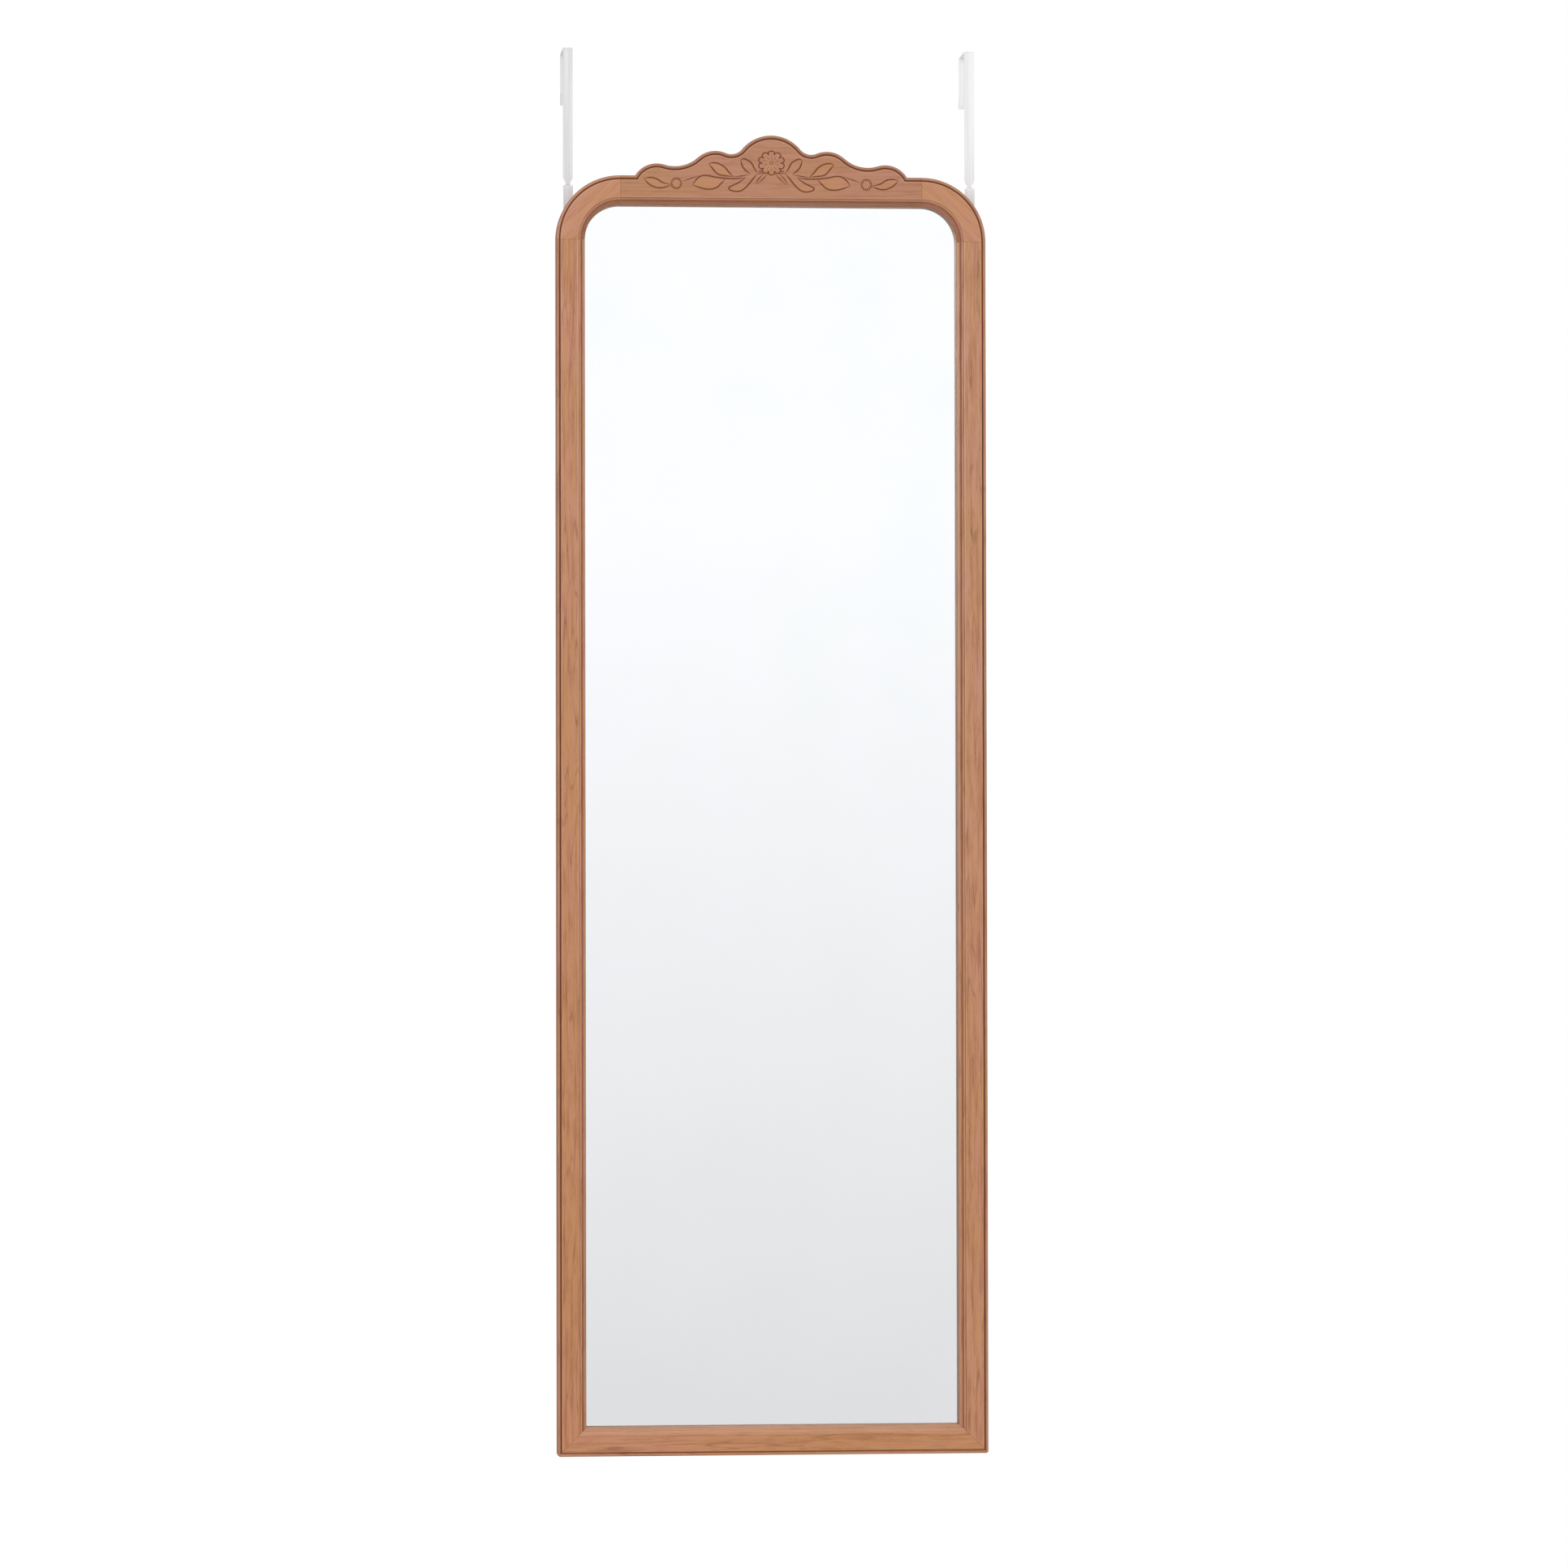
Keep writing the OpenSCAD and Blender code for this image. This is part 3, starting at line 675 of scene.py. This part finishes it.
def crestArcs(inset):
    # the right half of the crest, drawn in from the edge by inset: the knee where it leaves the
    # flat edge, and the centre and the last point of each arc from there to the top
    lobes = [Vector((x, 0, flatTop + top - radius)) for x, top, radius in crestShape["lobes"]]
    radii = [radius for x, top, radius in crestShape["lobes"]]
    hollows = [circlesMeet(lobes[i], radii[i] + r, lobes[i + 1], radii[i + 1] + r)
               for i, r in enumerate(crestShape["hollows"])]
    touch = [[hollows[i] + (lobes[i + k] - hollows[i]).normalized() * (r + inset) for k in (0, 1)]
             for i, r in enumerate(crestShape["hollows"])]
    rise = flatTop - inset - lobes[2].z
    knee = Vector((lobes[2].x + math.sqrt((radii[2] - inset) ** 2 - rise ** 2), 0, flatTop - inset))
    top = Vector((0, 0, lobes[0].z + radii[0] - inset))
    ends = [touch[1][1], touch[1][0], touch[0][1], touch[0][0], top]
    return knee, list(zip((lobes[2], hollows[1], lobes[1], hollows[0], lobes[0]), ends))


def turnBetween(centre, start, end):
    # the angle about +Y from start to end as seen from centre
    a, b = start - centre, end - centre
    turn = math.atan2(b.x, b.z) - math.atan2(a.x, a.z)
    return (turn + math.pi) % (2 * math.pi) - math.pi


def crestRing(bm, inset, depth, shade):
    # one line along the crest from its left end to its right end, made by spinning its last point
    stainAndPaintedLight = bm.verts.layers.float["stainAndPaintedLight"]
    before = set(bm.edges)
    y = depth - mouldDepth
    reach = jointX - mouldShape["arris"]
    knee, arcs = crestArcs(inset)
    turns = []
    start = knee
    for (centre, end), steps in zip(arcs, crestShape["steps"]):
        turns.append((centre, turnBetween(centre, start, end), steps))
        start = end
    # up the left half as in a looking glass, then down the right half backwards
    rising = [(Vector((-c.x, y, c.z)), -turn, steps) for c, turn, steps in turns]
    falling = [(Vector((c.x, y, c.z)), -turn, steps) for c, turn, steps in reversed(turns)]
    points = [bm.verts.new((x, y, flatTop - inset)) for x in (-reach, -knee.x)]
    bm.edges.new(points)
    last = points[1]
    for centre, turn, steps in rising + falling:
        spun = bmesh.ops.spin(bm, geom=[last], cent=centre, axis=(0, 1, 0), angle=turn, steps=steps,
                              use_duplicate=False)
        last = spun["geom_last"][0]
    bm.edges.new((last, bm.verts.new((reach, y, flatTop - inset))))
    edges = [edge for edge in bm.edges if edge not in before]
    for vert in {vert for edge in edges for vert in edge.verts}:
        vert[stainAndPaintedLight] = shade
    return edges


def crestSection():
    # the part of the section that the crest redraws, from the back to the lip of the face
    bm = bmesh.new()
    face = mouldSection(bm, lambda inset, depth: Vector((inset, depth, 0)))
    stainAndPaintedLight = bm.verts.layers.float["stainAndPaintedLight"]
    lipEnd = sum(mouldShape[part] for part in ("beadWidth", "grooveWidth", "lipRound", "lipFade"))
    points = [(v.co.x, v.co.y, v[stainAndPaintedLight]) for v in face.verts if v.co.x < lipEnd + near]
    bm.free()
    return [p for p in points if p[1] > mouldDepth / 2] + [p for p in points if p[1] <= mouldDepth / 2]


def makeTopRail():
    # a straight length of moulding whose outer edge, bead and groove are redrawn along the crest
    arris = mouldShape["arris"]
    bm = sweptLength(lambda inset, depth: Vector((arris - jointX, depth - mouldDepth, flatTop - inset)),
                     Vector((2 * (jointX - arris), 0, 0)), wornAndShaded=mouldShape["crestWornAndShaded"])
    section = crestSection()
    lowest = flatTop - section[-1][0]
    longEdges = [edge for edge in bm.edges
                 if edge.calc_length() > jointX and edge.verts[0].co.z > lowest - near]
    for side in (-1, 1):
        capAndEase(bm, Vector((side, 0, 0)))
    bmesh.ops.delete(bm, geom=longEdges, context="EDGES")
    rings = [crestRing(bm, *point) for point in section]
    for ring, following in zip(rings, rings[1:]):
        bmesh.ops.bridge_loops(bm, edges=ring + following)
    bmesh.ops.remove_doubles(bm, verts=bm.verts, dist=near)
    bmesh.ops.holes_fill(bm, edges=bm.edges, sides=0)
    bmesh.ops.recalc_face_normals(bm, faces=bm.faces)
    return bm


# the spray is given in millimetres across and up from the middle of the flat top edge, and the
# edge of a petal as angles and distances from the middle of its flower; a Line is a cut's width
sprayShape = {
    "leafLine": 1.7,
    "stemLine": 1.4,
    "petalLine": 1.4,
    "heartLine": 0.8,
    "veinLine": 0.6,
    "smallPetalLine": 0.95,
    "taper": 0.3,  # the share of its width that a cut has left at its ends
    "curveSteps": 5,
    "circlePoints": 8,
    "flower": (0.0, 13.0),
    "petals": 10,
    "petal": ((-18, 8.0), (-16.5, 9.8), (-12.5, 11.5), (0, 12.4), (12.5, 11.5), (16.5, 9.8), (18, 8.0)),
    "petalReach": 10.0,  # how far out the flower is as pale as a leaf
    "stretch": (1.05, 0.95),
    "vein": (3.6, 6.0, 8.8),
    "heart": 1.5,
    "smallFlower": (-93.6, -7.7),
    "smallPetals": 12,
    "smallPetal": ((-15, 3.1), (-14, 3.9), (-9.5, 4.9), (0, 5.4), (9.5, 4.9), (14, 3.9), (15, 3.1)),
    "smallPetalReach": 4.0,
    "smallStretch": (0.97, 1.04),
    "slack": 1.5,  # how far a face may reach past the leaf that it is counted to
}

# the lines of the spray on the left
leafLines = (
    ((-99.0, -9.0), (-107.5, -6.8), (-113.6, -3.2), (-119.8, -2.2), (-125.3, -3.2)),
    ((-125.3, -3.2), (-121.0, -8.1), (-116.1, -11.0), (-110.5, -12.3), (-104.4, -11.4), (-99.0, -9.0)),
    ((-77.6, -8.8), (-74.0, -3.8), (-69.9, -0.6), (-65.2, 0.3), (-54.7, -1.4), (-44.6, -2.5), (-34.4, -2.5),
     (-25.4, -1.4)),
    ((-77.6, -8.8), (-70.9, -11.6), (-62.8, -13.2), (-55.2, -12.1), (-49.6, -7.6), (-45.2, -2.6)),
    ((-61.8, 11.9), (-56.7, 12.9), (-51.2, 11.7), (-45.6, 8.1), (-41.5, 3.1), (-37.2, -0.6)),
    ((-61.8, 11.9), (-58.3, 7.6), (-55.2, 3.7), (-51.7, 1.3), (-45.6, 0.2), (-37.2, -0.6)),
    ((-30.2, 16.1), (-27.4, 17.0), (-23.4, 15.6), (-19.8, 13.0), (-17.3, 8.5), (-13.7, 2.4)),
    ((-30.2, 16.1), (-29.1, 11.0), (-26.9, 7.1), (-23.9, 4.4), (-20.9, 2.6)),
    ((-13.7, 2.4), (-17.9, -2.4), (-22.0, -7.5), (-26.5, -12.2), (-31.5, -14.9), (-38.0, -14.7),
     (-42.0, -12.0), (-38.5, -9.6), (-31.5, -6.0), (-25.4, -1.4)),
)
# which of these lines enclose a leaf
leafSides = ((0, 1), (2, 3), (4, 5), (6, 7), (8,))
stemLines = (
    ((-87.9, -5.9), (-80.1, -3.0), (-71.5, -0.2)),
    ((-37.2, -0.9), (-30.0, 0.0), (-20.9, 1.7)),
    ((-13.2, 4.3), (-10.4, 4.9), (-7.4, 4.4)),
    ((-13.5, 2.6), (-10.4, 2.9), (-7.2, 2.5)),
    ((-7.2, 2.5), (-12.7, -2.7), (-16.0, -8.0)),
    ((-3.0, 2.9), (-8.1, -2.4), (-14.5, -8.1)),
)


def gouge(name, points, width, closed=False):
    # a V-shaped cutter along a line of points, thinner at its ends, its middle in the front plane
    curve = bpy.data.curves.new(name, "CURVE")
    curve.dimensions = "3D"
    curve.bevel_depth = width * mm / 2
    curve.bevel_resolution = 0
    curve.resolution_u = sprayShape["curveSteps"]
    curve.use_fill_caps = True
    spline = curve.splines.new("BEZIER")
    spline.bezier_points.add(len(points) - 1)
    spline.use_cyclic_u = closed
    for knot, (x, z) in zip(spline.bezier_points, points):
        knot.co = (x * mm, z * mm, 0)
        knot.handle_left_type = knot.handle_right_type = "AUTO"
    if not closed:
        spline.bezier_points[0].radius = spline.bezier_points[-1].radius = sprayShape["taper"]
    drawn = bpy.data.objects.new(name, curve)
    bpy.context.scene.collection.objects.link(drawn)
    bpy.context.view_layer.update()
    mesh = bpy.data.meshes.new_from_object(drawn)
    bpy.data.objects.remove(drawn)
    bm = bmesh.new()
    bm.from_mesh(mesh)
    bmesh.ops.remove_doubles(bm, verts=bm.verts, dist=near / 10)
    bmesh.ops.rotate(bm, verts=bm.verts, matrix=Matrix.Rotation(quarter, 3, "X"))
    bmesh.ops.translate(bm, verts=bm.verts, vec=(0, -mouldDepth, flatTop))
    bmesh.ops.recalc_face_normals(bm, faces=bm.faces)
    bm.to_mesh(mesh)
    bm.free()
    tool = bpy.data.objects.new(name, mesh)
    bpy.context.scene.collection.objects.link(tool)
    return tool


def around(centre, points, stretch=(1, 1)):
    # places across and up of points given by their angle, in degrees clockwise from straight up,
    # and their distance from a centre
    return [(centre[0] + stretch[0] * reach * math.sin(math.radians(angle)),
             centre[1] + stretch[1] * reach * math.cos(math.radians(angle))) for angle, reach in points]


def circleOf(centre, radius):
    count = sprayShape["circlePoints"]
    return around(centre, [(number * 360 / count, radius) for number in range(count)])


def ringOf(name, centre, count, line, width, stretch=(1, 1)):
    # the same line turned round the middle of a flower, once for each petal
    turned = [[(angle + number * 360 / count, reach) for angle, reach in line] for number in range(count)]
    return [gouge(name, around(centre, points, stretch), width) for points in turned]


def sprayTools():
    # the cutters of the flower, and of the leaves, stems and small flower on both sides
    s = sprayShape
    tools = ringOf("flower", s["flower"], s["petals"], s["petal"], s["petalLine"], s["stretch"])
    tools.append(gouge("heart", circleOf(s["flower"], s["heart"]), s["heartLine"], closed=True))
    tools += ringOf("vein", s["flower"], s["petals"], [(0, reach) for reach in s["vein"]], s["veinLine"])
    for side in (1, -1):
        for lines, width in ((leafLines, s["leafLine"]), (stemLines, s["stemLine"])):
            tools += [gouge("line", [(side * x, z) for x, z in line], width) for line in lines]
        x, z = s["smallFlower"]
        tools += ringOf("small_flower", (side * x, z), s["smallPetals"], s["smallPetal"],
                        s["smallPetalLine"], s["smallStretch"])
    return tools


def roundedSpot(co):
    # the same key for a point before and after the cuts
    return tuple(round(c, 6) for c in co)


def leafOutlines():
    # each leaf, and the middle of each flower, as a closed ring of points in the plane of the front
    s = sprayShape
    rings = [circleOf(s["flower"], s["petalReach"])]
    for side in (1, -1):
        x, z = s["smallFlower"]
        rings.append(circleOf((side * x, z), s["smallPetalReach"]))
        for first, *others in leafSides:
            ring = list(leafLines[first]) + [p for number in others for p in reversed(leafLines[number])]
            rings.append([(side * x, z) for x, z in ring])
    return [[(x * mm, flatTop + z * mm) for x, z in ring] for ring in rings]


def encloses(ring, face, verts):
    # whether a face lies on the leaf: its middle is inside the ring and none of it is far outside
    slack = sprayShape["slack"] * mm
    for axis, values in ((0, [x for x, z in ring]), (2, [z for x, z in ring])):
        places = [verts[number].co[axis] for number in face.vertices]
        if min(places) < min(values) - slack or max(places) > max(values) + slack:
            return False
    x, z = face.center.x, face.center.z
    inside = False
    for (ax, az), (bx, bz) in zip(ring, ring[1:] + ring[:1]):
        if (az > z) != (bz > z) and x < ax + (z - az) / (bz - az) * (bx - ax):
            inside = not inside
    return inside


carveShade = {
    "least": 0.35,
    "floor": 1.0,
    "depth": 0.5 * mm,  # the stain is at its fullest from here down
    # how much lighter the upward wall is painted, a painted highlight
    "upwardLight": 0.45,
    "flat": 0.95,  # a face that looks forward more than this is the front, not a wall
}


def wallStainAndPaintedLight(normal, depth):
    # the stain gathers at the bottom of a cut; the wall that looks up is painted lighter, a painted highlight
    # as if lit from above
    c = carveShade
    upward = max(normal.z, 0.0) / math.hypot(normal.x, normal.z)
    filled = c["least"] + (c["floor"] - c["least"]) * min(depth / c["depth"], 1.0)
    return filled * (1 - c["upwardLight"] * upward)


def carve(piece, tools):
    # takes each cutter out of the piece, stains the walls that it leaves, painting the upward walls lighter
    # as lit from above, and marks the leaves
    known = {roundedSpot(vert.co): entry.value
             for vert, entry in zip(piece.data.vertices, piece.data.attributes["stainAndPaintedLight"].data)}
    wood = piece.data.materials[0]
    piece.modifiers.clear()
    for tool in tools:
        cut = piece.modifiers.new("cut", "BOOLEAN")
        cut.operation = "DIFFERENCE"
        cut.solver = "MANIFOLD"
        cut.object = tool
        carved = bpy.data.meshes.new_from_object(piece.evaluated_get(bpy.context.evaluated_depsgraph_get()))
        piece.modifiers.clear()
        piece.data = carved
        bpy.data.objects.remove(tool)
    mesh = piece.data
    mesh.materials.clear()
    mesh.materials.append(wood)
    mesh.attributes.remove(mesh.attributes["stainAndPaintedLight"])
    stainAndPaintedLight = mesh.attributes.new("stainAndPaintedLight", "FLOAT", "CORNER")
    leaf = mesh.attributes.new("leaf", "FLOAT", "CORNER")
    leaves = leafOutlines()
    for face in mesh.polygons:
        flat = abs(face.normal.y) > carveShade["flat"]
        onLeaf = flat and any(encloses(ring, face, mesh.vertices) for ring in leaves)
        for corner in face.loop_indices:
            co = mesh.vertices[mesh.loops[corner].vertex_index].co
            value = known.get(roundedSpot(co))
            if value is None:
                value = 0.0 if flat else wallStainAndPaintedLight(face.normal, co.y + mouldDepth)
            stainAndPaintedLight.data[corner].value = value
            leaf.data[corner].value = float(onLeaf)
    shadeSmooth(piece)


rail = finishPiece("top_rail", makeTopRail(), crestWood, "mirror")
carve(rail, sprayTools())
print("crest rail made and carved:", len(rail.data.vertices), "vertices")


easing = {
    "strap": 0.3 * mm,
    "plate": 0.25 * mm,
    "screw": 0.15 * mm,
    "rubber": 1.2 * mm,
    "board": 0.3 * mm,
    "foam": 0.2 * mm,
    "dowel": 0.5 * mm,
    "nail": 0.1 * mm,
    "sharpAngle": 35,  # degrees; only sharper edges are eased
    "flatAngle": 1,  # degrees; faces that turn less than this become one
    "silverInset": 0.05 * mm,
}


def designedShape(node):
    # a node's solid as the frame has it, without needless edges
    bm = bmesh.new()
    bm.from_mesh(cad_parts[node].data)
    bmesh.ops.transform(bm, matrix=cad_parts[node].matrix_world, verts=bm.verts)
    bmesh.ops.remove_doubles(bm, verts=bm.verts, dist=near)
    flat = math.radians(easing["flatAngle"])
    bmesh.ops.dissolve_limit(bm, angle_limit=flat, verts=bm.verts, edges=bm.edges)
    bm.normal_update()
    return bm


def easedCopy(node, material, body, ease, steps=2):
    # the piece as it was designed, with its sharp edges eased
    bm = designedShape(node)
    sharp = [edge for edge in bm.edges if edge.calc_face_angle(0) > math.radians(easing["sharpAngle"])]
    bmesh.ops.bevel(bm, geom=sharp, offset=ease, segments=steps, profile=0.5, affect="EDGES")
    return finishPiece(node, bm, material, body)


def makeGlass():
    # clear glass with its silvering on the back, a hair in front of the foam
    bm = designedShape("mirror_glass")
    back = [face for face in bm.faces if face.normal.y > sameWay]
    for face in back:
        face.material_index = 1
    behind = {vert for face in back for vert in face.verts}
    bmesh.ops.translate(bm, verts=list(behind), vec=(0, -easing["silverInset"], 0))
    piece = finishPiece("mirror_glass", bm, clearGlass("clear_glass"), "mirror")
    piece.data.materials.append(silvering("silvering"))


makeGlass()
easedCopy("foam_sheet", whiteFoam("white_foam"), "mirror", easing["foam"])
easedCopy("backing_board", hardboard("brown_hardboard"), "mirror", easing["board"])
easedCopy("retaining_points", zincSteel, "mirror", easing["nail"], steps=1)
dowelWood = beechDowel("beech_dowel")
rubber = blackRubber("black_rubber")
for side, paint in (("left", shadedPaintLeft), ("right", litPaintRight)):
    easedCopy("door_hook_" + side, paint, "hook_" + side, easing["strap"])
    easedCopy("hanger_plate_" + side, paint, "mirror", easing["plate"])
    easedCopy("hanger_screws_" + side, zincSteel, "mirror", easing["screw"])
    easedCopy("bumper_" + side, rubber, "mirror", easing["rubber"], steps=4)
    easedCopy("mitre_nails_" + side, zincSteel, "mirror", easing["nail"], steps=1)
    easedCopy("top_dowels_" + side, dowelWood, "mirror", easing["dowel"])
    easedCopy("side_dowels_" + side, dowelWood, "mirror", easing["dowel"])
print("glass, back and metal made")


roomLook = {
    "floorHeight": -0.65,
    "floorSize": 6.0,
    "floorColour": (0.8, 0.8, 0.8, 1),
    "floorGlow": 0.5,
    "white": (1, 1, 1, 1),
    "ambient": 0.75,
    "mirroredLow": srgb(222, 221, 222),
    "mirroredHigh": srgb(253, 253, 255),
    "mirroredSpan": (-0.08, 0.06),  # from below the horizon to above it
    "mirroredPower": 1.055,
}
lampShape = {
    "key_lamp": {"place": (-1.6, -3.0, 2.0), "aim": (0, 0, 0.55), "size": (2.2, 1.6), "power": 31.0},
    "fill_lamp": {"place": (2.6, -3.2, 1.4), "aim": (0, 0, 0.7), "size": (1.8, 2.4), "power": 15.0},
    "back_lamp": {"place": (0.5, 3.0, 2.6), "aim": (0, 0, 0.7), "size": (2.4, 1.6), "power": 30.0},
}


def seenInGlass(tree):
    # one for what the mirror shows, zero for what lights the object
    return tree.add("LightPath", out="Is Glossy Ray") + tree.add("LightPath", out="Is Transmission Ray")


def makeFloor():
    # a pale floor that glows where it is looked at, so that it shows as white
    look = roomLook
    bm = bmesh.new()
    bmesh.ops.create_grid(bm, x_segments=1, y_segments=1, size=look["floorSize"] / 2)
    bmesh.ops.translate(bm, verts=bm.verts, vec=(0, 0, look["floorHeight"]))
    mesh = bpy.data.meshes.new("floor")
    bm.to_mesh(mesh)
    bm.free()
    floor = bpy.data.objects.new("floor", mesh)
    bpy.context.scene.collection.objects.link(floor)
    material, tree = newMaterial("pale_floor")
    plain = tree.add("BsdfDiffuse", {}, {"Color": look["floorColour"]})
    glow = tree.add("Emission", {}, {"Color": look["white"], "Strength": look["floorGlow"]})
    seen = tree.add("LightPath", out="Is Camera Ray") + seenInGlass(tree)
    both = tree.add("AddShader", {}, {0: plain, 1: glow})
    picked = tree.add("MixShader", {}, {0: seen, 1: plain, 2: both})
    tree.add("OutputMaterial", {}, {"Surface": picked})
    mesh.materials.append(material)


def makeWorld():
    # white behind the object, soft grey as its light, and a pale fall of light in the mirror
    look = roomLook
    world = bpy.data.worlds.new("studio")
    bpy.context.scene.world = world
    tree = Tree(world)
    direction = tree.add("TexCoord", out="Generated")
    height = tree.add("SeparateXYZ", {}, {"Vector": direction}, out="Z")
    rise = height.ramp(*look["mirroredSpan"], style="LINEAR")
    shade = tree.mix(rise, look["mirroredLow"], look["mirroredHigh"])
    grey = tree.add("Background", {}, {"Color": look["white"], "Strength": look["ambient"]})
    mirrored = tree.add("Background", {}, {"Color": shade, "Strength": look["mirroredPower"]})
    white = tree.add("Background", {}, {"Color": look["white"], "Strength": 1.0})
    camera = tree.add("LightPath", out="Is Camera Ray")
    other = tree.add("MixShader", {}, {0: seenInGlass(tree), 1: grey, 2: mirrored})
    picked = tree.add("MixShader", {}, {0: camera, 1: other, 2: white})
    tree.add("OutputWorld", {}, {"Surface": picked})


def softLamp(name, place, aim, size, power):
    # a large lamp at a place, turned to what it lights
    lamp = bpy.data.lights.new(name, "AREA")
    lamp.shape = "RECTANGLE"
    lamp.energy = power
    lamp.size, lamp.size_y = size
    holder = bpy.data.objects.new(name, lamp)
    holder.location = place
    holder.rotation_euler = (Vector(aim) - Vector(place)).to_track_quat("-Z", "Y").to_euler()
    bpy.context.scene.collection.objects.link(holder)


viewShape = {
    "aim": Vector((0.0132, 0.0, 0.6568)),
    "distance": 6.5,
    "azimuth": -5.2,  # degrees, as are the next two
    "elevation": -1.18,
    "roll": 0.11,
    "lensOverSensor": 4.216,
}


def makeCamera():
    # looks from where the photograph was taken
    view = viewShape
    azimuth, elevation = math.radians(view["azimuth"]), math.radians(view["elevation"])
    back = Vector((math.sin(azimuth) * math.cos(elevation), -math.cos(azimuth) * math.cos(elevation),
                   math.sin(elevation)))
    camera = bpy.data.objects.new("camera", bpy.data.cameras.new("camera"))
    camera.data.lens = view["lensOverSensor"] * camera.data.sensor_width
    camera.location = view["aim"] + back * view["distance"]
    level = (-back).to_track_quat("-Z", "Y")
    camera.rotation_euler = (level @ Quaternion((0, 0, 1), -math.radians(view["roll"]))).to_euler()
    bpy.context.scene.collection.objects.link(camera)
    bpy.context.scene.camera = camera


makeFloor()
makeWorld()
for name, shape in lampShape.items():
    softLamp(name, **shape)
makeCamera()
bpy.context.scene.view_settings.view_transform = "Standard"
print("room, light and camera made")
